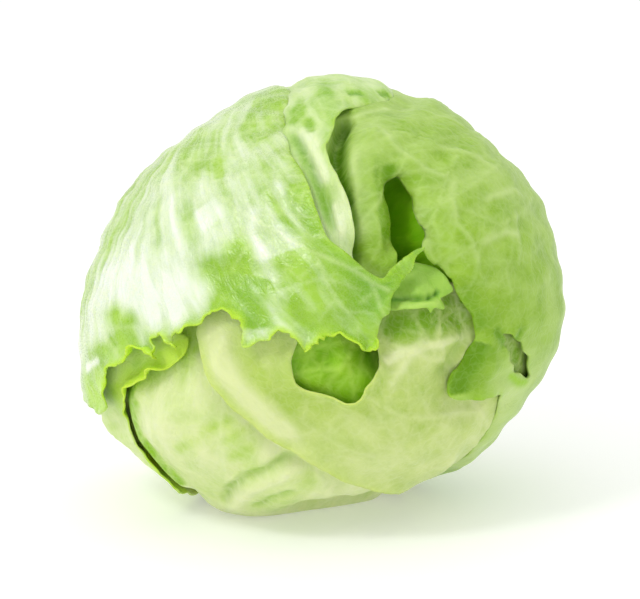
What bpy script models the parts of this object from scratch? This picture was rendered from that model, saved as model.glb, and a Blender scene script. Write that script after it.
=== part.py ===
"""Iceberg lettuce head lying on its side, as separate solid leaves round a dense heart.

Lengths in the constants are millimetres and angles are degrees. A place on the head is
given by two angles about its centre: the turn round the axis from the stem to the crown
(0 at the top, 90 on the right seen from the front, 180 underneath) and the angle down
from the stem (0 at the stem, 180 at the crown).
"""

import math
from dataclasses import dataclass

import bmesh
import bpy
import numpy as np
from mathutils.geometry import delaunay_2d_cdt

MM = 0.001

# The head's outline seen from the front: clock angle from the right, and radius there.
CLOCK = (0, 16, 31, 47, 69, 90, 107, 127, 146, 162, 180, 200, 213, 223, 235, 248, 264, 277, 290, 308, 333, 350)
RADIUS = (86, 83, 82, 80, 79, 78.5, 75.5, 73.5, 74.5, 76, 85, 89, 85, 83, 82, 82, 80, 79, 79, 77.5, 78, 84)
FRONT_DEPTH = 80.0
BACK_DEPTH = 81.0
CENTRE_HEIGHT = 72.0
CENTRE_ASIDE = (0.4, 2.2)
MEAN_RADIUS = 80.0
FLOOR_EASE = 2.0

# The axis of the head: the stem's direction as bearing from the front and height angle.
STEM_BEARING = -160.0
STEM_RISE = -15.0
STEM_DIMPLE = 0.05

# Each leaf lies this far inside the one over it, and more where all of them meet the stem.
STEP = 2.6
STEP_AT_STEM = 4.4
THICKNESS = 1.1
RIB_THICKNESS = 2.4
RIB_RISE = 1.8
BASE_DOWN = 15.0
STEM_RADIUS = 17.6
STEM_FLARE = 0.268
STEM_GAP = 0.9
BUTT_REACH = 75.5
SEAT_REACH = 47.0

INNER_SPACING = 9.0
EDGE_SPACING = 5.0


def smooth(value):
    """Ease a value from 0 to 1, flat at both ends."""
    value = np.clip(value, 0.0, 1.0)
    return value * value * (3.0 - 2.0 * value)


def unit(vectors):
    """Scale each row to length one."""
    return vectors / np.maximum(np.linalg.norm(vectors, axis=-1, keepdims=True), 1e-12)


def bearing(turn, rise):
    """Direction from a bearing round the upright axis and a height angle."""
    turn, rise = math.radians(turn), math.radians(rise)
    return np.array([math.sin(turn) * math.cos(rise), -math.cos(turn) * math.cos(rise), math.sin(rise)])


STEM = bearing(STEM_BEARING, STEM_RISE)
SKYWARD = unit(np.array([0.0, 0.0, 1.0]) - STEM * STEM[2])
SIDEWAYS = np.cross(SKYWARD, STEM)
SIDEWAYS = SIDEWAYS if SIDEWAYS[0] > 0 else -SIDEWAYS


def place(turn, down):
    """Directions for turns round the stem axis and angles down from the stem."""
    turn, down = np.radians(turn), np.radians(down)
    ring = np.cos(turn)[..., None] * SKYWARD + np.sin(turn)[..., None] * SIDEWAYS
    return np.cos(down)[..., None] * STEM + np.sin(down)[..., None] * ring


def turn_and_down(dirs):
    """The two angles of each direction, the inverse of place."""
    down = np.degrees(np.arccos(np.clip(dirs @ STEM, -1.0, 1.0)))
    return np.degrees(np.arctan2(dirs @ SIDEWAYS, dirs @ SKYWARD)), down


def clock_radius():
    """Outline radius for each whole degree of the clock angle, eased between the given ones."""
    degrees = np.arange(360)
    clock, radius = np.array(CLOCK, float), np.array(RADIUS, float)
    steps = np.interp(degrees, np.r_[clock - 360, clock, clock + 360], np.r_[radius, radius, radius])
    offsets = np.arange(-20, 21)
    weights = np.exp(-0.5 * (offsets / 6.0) ** 2)
    eased = sum(w * np.roll(steps, -o) for w, o in zip(weights, offsets))
    return np.r_[eased, eased[0]] / weights.sum()


CLOCK_RADIUS = clock_radius()


def rest_on_floor(dirs, radii):
    """Ease radii so that nothing reaches below the floor, with a flat spot where it would."""
    low = radii * dirs[..., 2] + CENTRE_HEIGHT
    soft = FLOOR_EASE
    eased = np.where(low < -soft, 0.0, np.where(low > soft, low, (low + soft) ** 2 / (4.0 * soft)))
    depth = np.minimum(radii * dirs[..., 2], -1e-6)
    return np.where(dirs[..., 2] < -0.2, radii * (eased - CENTRE_HEIGHT) / depth, radii)


def swell(dirs):
    """Slow swells and hollows all over the head, where packed leaves press outward."""
    total = np.zeros(dirs.shape[:-1])
    for x, y, z, phase, height in SWELLS:
        total = total + height * np.sin(dirs @ np.array([x, y, z]) + phase)
    return total


def head_radius(dirs):
    """Distance from the centre to the outer surface of the head in each direction."""
    clock = np.degrees(np.arctan2(dirs[..., 2], dirs[..., 0])) % 360.0
    across = np.hypot(dirs[..., 0], dirs[..., 2]) / np.interp(clock, np.arange(361), CLOCK_RADIUS)
    along = dirs[..., 1] / np.where(dirs[..., 1] < 0, FRONT_DEPTH, BACK_DEPTH)
    radii = 1.0 / np.sqrt(across**2 + along**2)
    down = turn_and_down(dirs)[1]
    radii = radii * (1.0 - STEM_DIMPLE * np.exp(-((down / 20.0) ** 2))) + swell(dirs) - LIFTED.at(dirs)
    return rest_on_floor(dirs, radii)


class FlatMap:
    """Lays the head's surface out flat round one place, keeping distances from it."""

    def __init__(self, turn, down):
        self.middle = place(np.array(turn), np.array(down))
        ahead = place(np.array(turn), np.array(down + 1.0)) - self.middle
        self.up = unit(ahead - self.middle * (ahead @ self.middle))
        self.across = np.cross(self.up, self.middle)

    def flat(self, dirs):
        """Flat millimetres of each direction."""
        x, y, z = dirs @ self.across, dirs @ self.up, dirs @ self.middle
        reach = np.hypot(x, y)
        scale = MEAN_RADIUS * np.arctan2(reach, z) / np.maximum(reach, 1e-9)
        return np.stack([x * scale, y * scale], axis=-1)

    def dirs(self, flat):
        """Direction of each flat place."""
        reach = np.linalg.norm(flat, axis=-1)
        angle = reach / MEAN_RADIUS
        scale = np.sin(angle) / np.maximum(reach, 1e-9)
        side = flat[..., 0, None] * self.across + flat[..., 1, None] * self.up
        return unit(np.cos(angle)[..., None] * self.middle + side * scale[..., None])


def curve_through(points, spacing, values):
    """Closed rounded curve through points, cut to a spacing, with values carried along."""
    out, carried = [], []
    count = len(points)
    for i in range(count):
        before, start, end, after = (points[(i + k) % count] for k in (-1, 0, 1, 2))
        length = np.linalg.norm(end - start)
        steps = max(1, math.ceil(length / spacing - 0.25))
        lean_in = (end - before) * min(0.5, length / max(np.linalg.norm(end - before), 1e-6) * 0.9)
        lean_out = (after - start) * min(0.5, length / max(np.linalg.norm(after - start), 1e-6) * 0.9)
        for k in range(steps):
            t = k / steps
            out.append(
                (2 * t**3 - 3 * t**2 + 1) * start
                + (t**3 - 2 * t**2 + t) * lean_in
                + (3 * t**2 - 2 * t**3) * end
                + (t**3 - t**2) * lean_out
            )
            carried.append(values[i] * (1 - t) + values[(i + 1) % count] * t)
    return np.array(out), np.array(carried)


def margin_distance(points, loop):
    """Signed distance to a closed loop, inside above zero, with the nearest side and where on it."""
    ends = np.roll(loop, -1, axis=0)
    side = ends - loop
    lengths = np.maximum((side**2).sum(axis=1), 1e-12)
    distance, nearest, along = [], [], []
    for block in np.array_split(points, max(1, len(points) * len(loop) // 2000000 + 1)):
        gap = block[:, None] - loop[None]
        t = np.clip((gap * side).sum(axis=2) / lengths, 0.0, 1.0)
        apart = ((gap - t[..., None] * side) ** 2).sum(axis=2)
        best = apart.argmin(axis=1)
        row = np.arange(len(block))
        over = (loop[None, :, 1] > block[:, 1, None]) != (ends[None, :, 1] > block[:, 1, None])
        rise = np.where(np.abs(side[:, 1]) < 1e-12, 1e-12, side[:, 1])
        cross = block[:, 0, None] < loop[None, :, 0] + (block[:, 1, None] - loop[None, :, 1]) / rise * side[:, 0]
        inside = (over & cross).sum(axis=1) % 2 == 1
        distance.append(np.sqrt(apart[row, best]) * np.where(inside, 1.0, -1.0))
        nearest.append(best)
        along.append(t[row, best])
    return np.concatenate(distance), np.concatenate(nearest), np.concatenate(along)


@dataclass(frozen=True)
class Dip:
    """A hollow pressed into one layer of the head and everything under it."""

    first: int
    path: tuple
    depth: float
    width: float

    def at(self, dirs):
        """Depth of the hollow in each direction."""
        spots = place(np.array([p[0] for p in self.path], float), np.array([p[1] for p in self.path], float))
        best = np.full(dirs.shape[0], 9.0)
        for start, end in zip(spots[:-1], spots[1:]) if len(spots) > 1 else ((spots[0], spots[0]),):
            for t in np.linspace(0.0, 1.0, 7):
                spot = unit(start * (1 - t) + end * t)
                best = np.minimum(best, np.arccos(np.clip(dirs @ spot, -1.0, 1.0)))
        return self.depth * np.exp(-((best * MEAN_RADIUS / self.width) ** 2))


# The underside at the front right stands clear of the floor.
LIFTED = Dip(0, ((186, 101), (164, 99)), 11.0, 19.0)

# Swells: a wave along each direction, its phase and its height.
SWELLS = (
    (9.0, 3.0, -5.0, 0.4, 0.5),
    (-4.0, 8.0, 7.0, 1.9, 0.5),
    (6.0, -7.0, 8.0, 3.1, 0.45),
    (-13.0, 5.0, 4.0, 5.0, 0.3),
    (3.0, 14.0, -9.0, 2.2, 0.3),
)


@dataclass(frozen=True)
class Leaf:
    """One leaf: its margin as turn, down and outward curl, and how it clasps the stem."""

    name: str
    middle: tuple
    margin: tuple
    clasp: tuple = ()
    holes: tuple = ()
    band: float = 8.0
    inner: float = INNER_SPACING
    edge: float = EDGE_SPACING
    pleats: float = 0.6
    ruffle: float = 0.35
    colour: tuple = (0.45, 0.62, 0.16)

    def plan(self):
        """Flat map, margin points and curls, with the clasp round the stem closing the margin."""
        rows = [tuple(row) for row in self.margin]
        if self.clasp:
            first, last = self.clasp
            rows += [(turn, BASE_DOWN, 0.0) for turn in np.linspace(last, first, 6)]
        rows = np.array(rows, float)
        chart = FlatMap(*self.middle)
        return chart, chart.flat(place(rows[:, 0], rows[:, 1])), rows[:, 2]


LEFT_WRAPPER = Leaf(
    name="left_wrapper_leaf",
    middle=(-62, 95),
    clasp=(-98, -8),
    margin=(
        (-104, 28, 0), (-108, 45, 0), (-109, 60, 10), (-108, 74, 40), (-108, 89, 60), (-107, 98, 70),
        (-105, 104, 60), (-103, 111, 70), (-103, 116, 80), (-101, 119, 50), (-103, 122, 80), (-99, 125, 50),
        (-101, 128, 70), (-99, 133, 70), (-97, 138, 45), (-102, 140, 60), (-109, 140, 40), (-113, 142, 50),
        (-108, 145, 50), (-108, 147, 60), (-112, 150, 75), (-120, 151, 60), (-124, 153, 80), (-123, 155, 50),
        (-125, 158, 60), (-129, 160, 70), (-138, 161, 60), (-152, 161, 70), (-159, 164, 60), (-153, 166, 30),
        (-145, 169, 25), (-140, 173, 25), (-130, 177, 20), (16, 178, 30), (36, 175, 45), (39, 172, 60),
        (-32, 177, 40), (-84, 175, 25), (-75, 172, 15), (-62, 168, 15), (-59, 165, 25), (-53, 160, 30),
        (-44, 155, 20), (-34, 148, 10), (-29, 137, 10), (-20, 123, 8), (-11, 116, 5), (-6, 100, 6),
        (-4, 80, 20), (-4, 60, 20), (-5, 40, 10), (-7, 28, 0),
    ),
    colour=(0.50, 0.68, 0.20),
)

TOP = Leaf(
    name="top_leaf",
    middle=(8, 95),
    clasp=(-38, 24),
    margin=(
        (-40, 28, 0), (-43, 48, 0), (-46, 72, 0), (-44, 95, 0), (-42, 112, 0), (-46, 130, 0), (-54, 144, 0),
        (-64, 156, 0), (-74, 164, 0), (-79, 168, 10), (-61, 168, 20), (-40, 163, 30), (-25, 156, 35),
        (-20, 148, 35), (-19, 143, 40), (-14, 138, 45), (-7, 131, 45), (0, 125, 40), (7, 124, 35),
        (13, 121, 25), (20, 112, 14), (25, 96, 12), (28, 76, 25), (28, 55, 15), (26, 38, 0), (25, 27, 0),
    ),
    colour=(0.42, 0.62, 0.15),
)

RIGHT_WRAPPER = Leaf(
    name="right_wrapper_leaf",
    middle=(82, 105),
    clasp=(10, 136),
    margin=(
        (9, 28, 0), (7, 42, 0), (5, 62, 0), (2, 85, 0), (-4, 105, 0), (-14, 118, 0), (-20, 130, 0),
        (-26, 142, 0), (-36, 152, 0), (-52, 160, 0), (-72, 167, 0), (-90, 173, 0), (-68, 176, 0),
        (-8, 170, 0), (1, 161, 0), (5, 153, -25), (11, 155, -50), (21, 160, -65), (30, 166, -65),
        (49, 168, -45), (79, 168, 0), (105, 165, 30), (119, 161, 45), (127, 156, 55), (130, 153, 60),
        (141, 151, 50), (150, 150, 60), (154, 148, 70), (150, 145, 40), (139, 137, 50), (133, 135, 20),
        (136, 132, 20), (141, 129, 25), (145, 125, 15), (148, 118, 10), (149, 107, 12), (151, 94, 15),
        (150, 78, 35), (149, 60, 30), (146, 42, 10), (141, 28, 0),
    ),
    holes=(((120, 147), (118, 144), (119, 140), (122, 135), (125, 132), (126, 138), (124, 143)),),
    colour=(0.36, 0.58, 0.13),
)

FRONT = Leaf(
    name="front_leaf",
    middle=(150, 110),
    clasp=(82, 148),
    margin=(
        (79, 28, 0), (76, 48, 0), (77, 70, 0), (83, 90, 0), (94, 110, 0), (106, 125, 0), (116, 137, 0),
        (118, 147, 0), (126, 155, -20), (131, 160, -30), (147, 164, -35), (171, 166, -35), (-172, 165, -20),
        (-161, 163, 0), (-163, 158, 25), (-157, 153, 50), (-155, 149, 60), (-145, 149, 50), (-136, 147, 45),
        (-130, 146, 40), (-122, 148, 20), (-115, 152, 10), (-105, 152, 0), (-95, 147, 0), (-92, 139, 0),
        (-95, 131, 0), (-100, 128, 20), (-107, 129, 35), (-116, 129, 35), (-127, 130, 35), (-140, 130, 35),
        (-151, 130, 35), (-166, 127, 35), (-180, 121, 30), (171, 115, 25), (160, 103, 20), (159, 85, 25),
        (158, 65, 25), (155, 45, 10), (151, 28, 0),
    ),
    band=6.0,
    pleats=0.3,
    ruffle=0.1,
    colour=(0.62, 0.74, 0.30),
)

OUTER_LEFT = Leaf(
    name="outer_left_leaf",
    middle=(-126, 65),
    clasp=(-144, -84),
    margin=(
        (-146, 28, 0), (-152, 45, 10), (-151, 58, 40), (-147, 72, 60), (-140, 83, 60), (-136, 87, 75),
        (-131, 90, 60), (-128, 88, 75), (-123, 92, 60), (-117, 95, 75), (-112, 99, 60), (-108, 98, 60),
        (-101, 100, 0), (-92, 92, 0), (-83, 75, 0), (-78, 55, 0), (-80, 38, 0), (-83, 27, 0),
    ),
    colour=(0.40, 0.62, 0.12),
)

LOWER_LEFT = Leaf(
    name="lower_left_leaf",
    middle=(-174, 88),
    clasp=(142, 248),
    margin=(
        (141, 28, 0), (142, 45, 0), (144, 68, 0), (148, 88, 0), (155, 105, 0), (165, 118, 0), (178, 130, 0),
        (192, 137, 0), (209, 139, 0), (225, 138, 0), (245, 137, 0), (260, 134, 0), (265, 127, 0),
        (262, 116, 0), (258, 107, 0), (257, 95, 0), (256, 80, 0), (254, 60, 0), (252, 42, 0), (249, 28, 0),
    ),
    pleats=0.3,
    colour=(0.60, 0.72, 0.30),
)

CURLED = Leaf(
    name="curled_inner_leaf",
    middle=(110, 173),
    margin=(
        (-112, 170, 0), (-82, 170, 0), (-53, 174, -10), (0, 174, -25), (27, 173, -30), (48, 170, -20),
        (68, 167, 0), (86, 166, 20), (102, 166, 60), (119, 166, 180), (129, 166, 215), (146, 166, 230),
        (166, 167, 230), (-174, 168, 215), (-152, 168, 160), (-130, 169, 0),
    ),
    band=9.0,
    inner=3.4,
    edge=3.4,
    pleats=0.2,
    ruffle=0.05,
    colour=(0.42, 0.62, 0.14),
)

INNER = Leaf(
    name="green_inner_leaf",
    middle=(-140, 158),
    margin=(
        (-104, 146, 0), (-115, 141, 0), (-126, 139, 0), (-137, 139, 0), (-148, 141, 0), (-160, 144, 0),
        (-169, 149, 0), (-178, 155, 0), (168, 158, 0), (150, 158, 0), (136, 158, 0), (126, 162, 20),
        (128, 168, 20), (150, 174, 0), (-150, 176, 0), (-105, 168, 0), (-98, 156, 0),
    ),
    inner=6.0,
    pleats=0.8,
    colour=(0.24, 0.50, 0.06),
)

# From the outside in.
LEAVES = (LEFT_WRAPPER, TOP, RIGHT_WRAPPER, CURLED, FRONT, OUTER_LEFT, LOWER_LEFT, INNER)
HEART = len(LEAVES)

DIPS = (
    # The channel between the top leaf and the right wrapper, and the wrapper's sunken lobe.
    Dip(2, ((13, 121), (2, 127), (-10, 134), (-18, 144), (-27, 155), (-40, 164)), 5.0, 6.0),
    Dip(2, ((-3, 150), (-11, 160), (-36, 171)), 3.0, 9.0),
    # Room under the rolled edges at the crown.
    Dip(3, ((5, 152), (12, 158), (20, 166), (48, 170)), 3.0, 9.0),
    Dip(4, ((5, 152), (12, 158), (20, 166), (60, 170), (110, 166), (122, 162)), 4.0, 9.0),
    Dip(5, ((-167, 163), (172, 165), (149, 163), (128, 158)), 5.0, 9.0),
    Dip(7, ((60, 172), (120, 168), (170, 168), (-140, 172)), 4.0, 11.0),
    # The deep hollow down the crown, and the pocket beside the right wrapper's lobe.
    Dip(8, ((8, 152), (12, 158), (14, 164), (18, 170), (33, 175), (102, 173), (122, 168), (127, 163)), 17.0, 9.0),
    Dip(8, ((128, 157), (141, 155), (149, 151)), 6.0, 8.0),
)


def margin_reach(leaf, dirs):
    """Distance of each direction inside a leaf's margin, below zero outside it."""
    chart, points, curls = leaf.plan()
    loop = curve_through(points, 6.0, curls)[0]
    return margin_distance(chart.flat(dirs), loop)[0]


def step_depth(dirs):
    """How far each covered layer sinks, more towards the stem."""
    down = turn_and_down(dirs)[1]
    return STEP + (STEP_AT_STEM - STEP) * smooth((60.0 - down) / 45.0)


def covers_over(layer, dirs):
    """How many leaves press on a layer in each direction, and how far it is free of them.

    A leaf presses fully under itself and less and less up to 15 mm outside its margin.
    """
    pressing, free = np.zeros(len(dirs)), np.ones(len(dirs))
    for leaf in LEAVES[:layer]:
        reach = margin_reach(leaf, dirs)
        pressing += smooth((reach + 15.0) / 12.0)
        free *= 1.0 - smooth((reach + 6.5) / 5.0)
    return pressing, free


def layer_radius(layer, dirs, over):
    """Distance from the centre to one layer's outer face."""
    radii = head_radius(dirs) - step_depth(dirs) * over
    for dip in DIPS:
        if dip.first <= layer:
            radii = radii - dip.at(dirs)
    return radii


def pleat_height(leaf, chart, dirs, flat):
    """Long soft folds that run from the stem towards a leaf's tip."""
    turn, down = turn_and_down(dirs)
    middle_turn = (turn - leaf.middle[0] + 180.0) % 360.0 - 180.0
    fan = middle_turn * np.sin(np.radians(np.clip(down, 20.0, 160.0))) / 9.0
    wave = 0.5 + 0.5 * np.cos(2.0 * math.pi * (fan + 0.35 * np.sin(flat[:, 1] / 19.0)))
    return leaf.pleats * wave * smooth((down - 25.0) / 30.0)


def rib_height(leaf, dirs, flat):
    """The thick pale rib at a leaf's base, fading out towards its tip."""
    down = turn_and_down(dirs)[1]
    across = flat[:, 0] / (6.5 + 0.06 * np.maximum(60.0 - down, 0.0))
    return RIB_RISE * np.exp(-(across**2)) * smooth((75.0 - down) / 45.0) * smooth((down - 14.0) / 6.0)


def hex_points(loop, spacing):
    """Points on a triangle grid over the box of a loop."""
    low, high = loop.min(axis=0), loop.max(axis=0)
    rows = np.arange(low[1], high[1], spacing * math.sqrt(0.75))
    grid = [
        np.stack([np.arange(low[0] + (k % 2) * spacing / 2, high[0], spacing), np.full(1, y)[0] * np.ones(
            len(np.arange(low[0] + (k % 2) * spacing / 2, high[0], spacing)))], axis=1)
        for k, y in enumerate(rows)
    ]
    return np.concatenate(grid)


def fill_flat(loop, holes, inner, edge, band):
    """Flat points and triangles that fill a loop, closer together near the margin."""
    rings = [loop, *holes]
    coarse, fine = hex_points(loop, inner), hex_points(loop, edge)
    depth = margin_distance(coarse, loop)[0]
    coarse = coarse[depth > band + 0.4 * inner]
    depth = margin_distance(fine, loop)[0]
    fine = fine[(depth > 0.6 * edge) & (depth <= band + 0.1 * edge)]
    inside = np.concatenate([coarse, fine])
    for hole in holes:
        inside = inside[margin_distance(inside, hole)[0] < -0.6 * edge]
    points, sides = [], []
    for ring in rings:
        start = len(points)
        points.extend(ring.tolist())
        sides.extend((start + i, start + (i + 1) % len(ring)) for i in range(len(ring)))
    points.extend(inside.tolist())
    made = delaunay_2d_cdt(points, sides, [], 0, 1e-5)
    verts = np.array([tuple(v) for v in made[0]])
    faces = np.array([tuple(f) for f in made[2]])
    centres = verts[faces].mean(axis=1)
    keep = margin_distance(centres, loop)[0] > 0
    for hole in holes:
        keep &= margin_distance(centres, hole)[0] < 0
    return verts, faces[keep]


def curl_margin(leaf, spots, normals, dirs, chart, flat, loop, curls, free):
    """Roll the leaf's margin outward or inward by the angles its plan gives."""
    distance, side, along = margin_distance(flat, loop)
    distance = np.abs(distance)
    ends = np.roll(loop, -1, axis=0)
    outward = np.stack([ends[:, 1] - loop[:, 1], loop[:, 0] - ends[:, 0]], axis=1)
    if np.cross(loop, ends).sum() < 0:
        outward = -outward
    weights = (0.06, 0.12, 0.2, 0.24, 0.2, 0.12, 0.06)
    outward = sum(w * np.roll(outward, k - 3, axis=0) for k, w in enumerate(weights))
    outward = unit(outward)[side]
    amount = curls[side] * (1 - along) + np.roll(curls, -1)[side] * along
    lengths = np.r_[0.0, np.cumsum(np.linalg.norm(ends - loop, axis=1))]
    run = lengths[side] * (1 - along) + lengths[side + 1] * along
    ruffle = np.where(amount > 0, leaf.ruffle, 0.0)
    amount = amount * (1.0 + ruffle * np.sin(run / 2.4) + 0.5 * ruffle * np.sin(run / 1.1 + 1.0))
    amount = np.radians(amount) * free
    size = np.maximum(np.abs(amount), 1e-4)
    reach = np.clip(1.0 - distance / leaf.band, 0.0, 1.0) * leaf.band
    radius = leaf.band / size
    angle = size * reach / leaf.band
    ahead = chart.dirs(flat + outward * 0.5) - dirs
    ahead = unit(ahead - normals * (ahead * normals).sum(axis=1, keepdims=True))
    shift = radius * np.sin(angle) - reach
    lift = np.sign(amount) * radius * (1.0 - np.cos(angle))
    lift = np.where(amount < 0, np.maximum(lift, -7.0), lift)
    return spots + ahead * shift[:, None] + normals * lift[:, None]


def sheet_normals(spots, faces):
    """Point normals of a sheet, facing away from the centre."""
    flat = np.cross(spots[faces[:, 1]] - spots[faces[:, 0]], spots[faces[:, 2]] - spots[faces[:, 0]])
    normals = np.zeros_like(spots)
    for corner in range(3):
        np.add.at(normals, faces[:, corner], flat)
    return unit(normals)


def leaf_sheet(layer, inner, edge):
    """Points, triangles and thickness share of one leaf's outer face."""
    leaf = LEAVES[layer]
    chart, points, curls = leaf.plan()
    loop, curls = curve_through(points, edge, curls)
    holes = []
    for hole in leaf.holes:
        ring = chart.flat(place(np.array([p[0] for p in hole], float), np.array([p[1] for p in hole], float)))
        holes.append(curve_through(ring, edge, np.zeros(len(ring)))[0])
    flat, faces = fill_flat(loop, holes, inner, edge, leaf.band)
    dirs = chart.dirs(flat)
    over, free = covers_over(layer, dirs)
    radii = layer_radius(layer, dirs, over)
    high = smooth((dirs[:, 2] * radii + CENTRE_HEIGHT - 1.0) / 6.0)
    radii = radii + (pleat_height(leaf, chart, dirs, flat) + rib_height(leaf, dirs, flat)) * free * high
    spots = dirs * radii[:, None]
    turned = np.cross(flat[faces[:, 1]] - flat[faces[:, 0]], flat[faces[:, 2]] - flat[faces[:, 0]]) < 0
    faces[turned] = faces[turned][:, ::-1]
    normals = sheet_normals(spots, faces)
    if ((normals * dirs).sum(axis=1) < 0).mean() > 0.5:
        faces = faces[:, ::-1]
        normals = -normals
    spots = curl_margin(leaf, spots, normals, dirs, chart, flat, loop, curls, free * high)
    down = turn_and_down(dirs)[1]
    distance = margin_distance(flat, loop)[0]
    rib = np.exp(-((flat[:, 0] / 9.0) ** 2)) if leaf.clasp else np.zeros(len(flat))
    base = smooth((55.0 - down) / 40.0)
    share = 1.0 + (RIB_THICKNESS / THICKNESS - 1.0) * base * (0.35 + 0.65 * rib) * smooth(np.abs(distance) / 6.0)
    return spots, faces, share


def finish(name, colour, roughness=0.45):
    """A plain surface finish for one piece."""
    material = bpy.data.materials.new(name)
    material.use_nodes = True
    shader = material.node_tree.nodes["Principled BSDF"]
    shader.inputs["Base Color"].default_value = (*colour, 1.0)
    shader.inputs["Roughness"].default_value = roughness
    shader.inputs["Metallic"].default_value = 0.0
    return material


def add_object(name, spots, faces, material):
    """Make a mesh object from millimetre points about the head's centre."""
    mesh = bpy.data.meshes.new(name)
    raised = (np.asarray(spots) + np.array([*CENTRE_ASIDE, CENTRE_HEIGHT])) * MM
    mesh.from_pydata(raised.tolist(), [], [tuple(int(i) for i in f) for f in faces])
    mesh.materials.append(material)
    mesh.polygons.foreach_set("use_smooth", [True] * len(mesh.polygons))
    mesh.update()
    obj = bpy.data.objects.new(name, mesh)
    bpy.context.scene.collection.objects.link(obj)
    return obj


def build_leaf(layer):
    """One leaf as a closed thin solid, split into the same triangles on both faces."""
    leaf = LEAVES[layer]
    spots, faces, share = leaf_sheet(layer, leaf.inner, leaf.edge)
    obj = add_object(leaf.name, spots, faces, finish(leaf.name, leaf.colour))
    group = obj.vertex_groups.new(name="thickness")
    most = RIB_THICKNESS
    for index, value in enumerate(share):
        group.add([index], float(value * THICKNESS / most), "REPLACE")
    solid = obj.modifiers.new("thickness", "SOLIDIFY")
    solid.thickness = most * MM
    solid.offset = -1.0
    solid.use_even_offset = False
    solid.vertex_group = group.name
    solid.thickness_vertex_group = 0.0
    return obj


def heart_points():
    """Directions over the heart, closer together at the open crown."""
    groups = []
    for spacing, low, high in ((11.0, 0.0, 134.0), (4.6, 134.0, 180.1)):
        count = int(4.0 * math.pi * 68.0**2 / (spacing**2 * 0.866))
        index = np.arange(count) + 0.5
        down = np.degrees(np.arccos(1.0 - 2.0 * index / count))
        turn = np.degrees(math.pi * (1.0 + math.sqrt(5.0)) * index) % 360.0
        keep = (down >= low) & (down < high)
        groups.append(place(turn[keep], down[keep]))
    return np.concatenate(groups)


def heart_relief(dirs):
    """Folded edges of the packed inner leaves, showing at the open crown."""
    turn, down = turn_and_down(dirs)
    swirl = np.radians(turn) * 3.0 + down / 7.0
    return 1.6 * (0.5 + 0.5 * np.sin(swirl)) * smooth((down - 135.0) / 20.0)


def build_heart():
    """The dense heart, its inner leaves packed too close to part."""
    dirs = heart_points()
    over = covers_over(HEART, dirs)[0]
    radii = layer_radius(HEART, dirs, over) - STEP + heart_relief(dirs) - 1.6
    down = turn_and_down(dirs)[1]
    seat = SEAT_REACH / np.maximum(np.cos(np.radians(down)), 0.2)
    radii = np.where(down < 24.0, np.minimum(radii, seat), radii)
    shell = bmesh.new()
    for d in dirs:
        shell.verts.new(tuple(d))
    bmesh.ops.convex_hull(shell, input=shell.verts)
    shell.verts.index_update()
    shell.verts.ensure_lookup_table()
    bmesh.ops.recalc_face_normals(shell, faces=shell.faces)
    faces = [[v.index for v in f.verts] for f in shell.faces]
    shell.free()
    return add_object("heart", dirs * radii[:, None], faces, finish("heart", (0.16, 0.40, 0.03)))


def build_stem():
    """The cut stem in the middle of the leaf bases, a tapered plug with a softened rim."""
    low = SEAT_REACH + 0.5
    rim = (STEM_RADIUS + STEM_GAP) / STEM_FLARE
    profile = (
        (0.0, low), (STEM_FLARE * low - STEM_GAP - 1.0, low), (STEM_FLARE * (low + 1.0) - STEM_GAP, low + 1.0),
        (STEM_RADIUS, rim), (STEM_RADIUS - 0.5, BUTT_REACH - 1.2), (STEM_RADIUS - 1.7, BUTT_REACH),
        (0.0, BUTT_REACH - 0.6),
    )
    count = 40
    spots, rings = [], []
    for radius, reach in profile:
        if radius == 0.0:
            rings.append([len(spots)] * count)
            spots.append(STEM * reach)
            continue
        start = len(spots)
        for k in range(count):
            angle = 2.0 * math.pi * k / count
            spots.append(STEM * reach + radius * (math.cos(angle) * SKYWARD + math.sin(angle) * SIDEWAYS))
        rings.append([start + k for k in range(count)])
    faces = []
    for lower, upper in zip(rings[:-1], rings[1:]):
        for k in range(count):
            j = (k + 1) % count
            corners = list(dict.fromkeys((lower[k], lower[j], upper[j], upper[k])))
            faces.append(corners)
    obj = add_object("stem", np.array(spots), faces, finish("stem", (0.70, 0.66, 0.42), 0.6))
    shell = bmesh.new()
    shell.from_mesh(obj.data)
    bmesh.ops.recalc_face_normals(shell, faces=shell.faces)
    shell.to_mesh(obj.data)
    shell.free()
    return obj


def main():
    """Clear the scene and build every piece."""
    for obj in list(bpy.data.objects):
        bpy.data.objects.remove(obj, do_unlink=True)
    for layer in range(len(LEAVES)):
        build_leaf(layer)
    build_heart()
    build_stem()


if __name__ == "__main__":
    main()
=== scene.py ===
"""Iceberg lettuce head on its side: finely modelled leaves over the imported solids, light and camera.

Lengths are millimetres until a mesh is made, and angles are degrees. A place on the head is
a turn round the axis from stem to crown (0 on top, 90 on the right seen from the front, 180
underneath) and an angle down from the stem (0 at the stem, 180 at the crown).
"""

import logging
import math
from dataclasses import dataclass, field
from enum import Enum

import bmesh
import bpy
import numpy as np
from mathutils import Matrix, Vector
from mathutils.geometry import delaunay_2d_cdt
from mathutils.kdtree import KDTree


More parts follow.
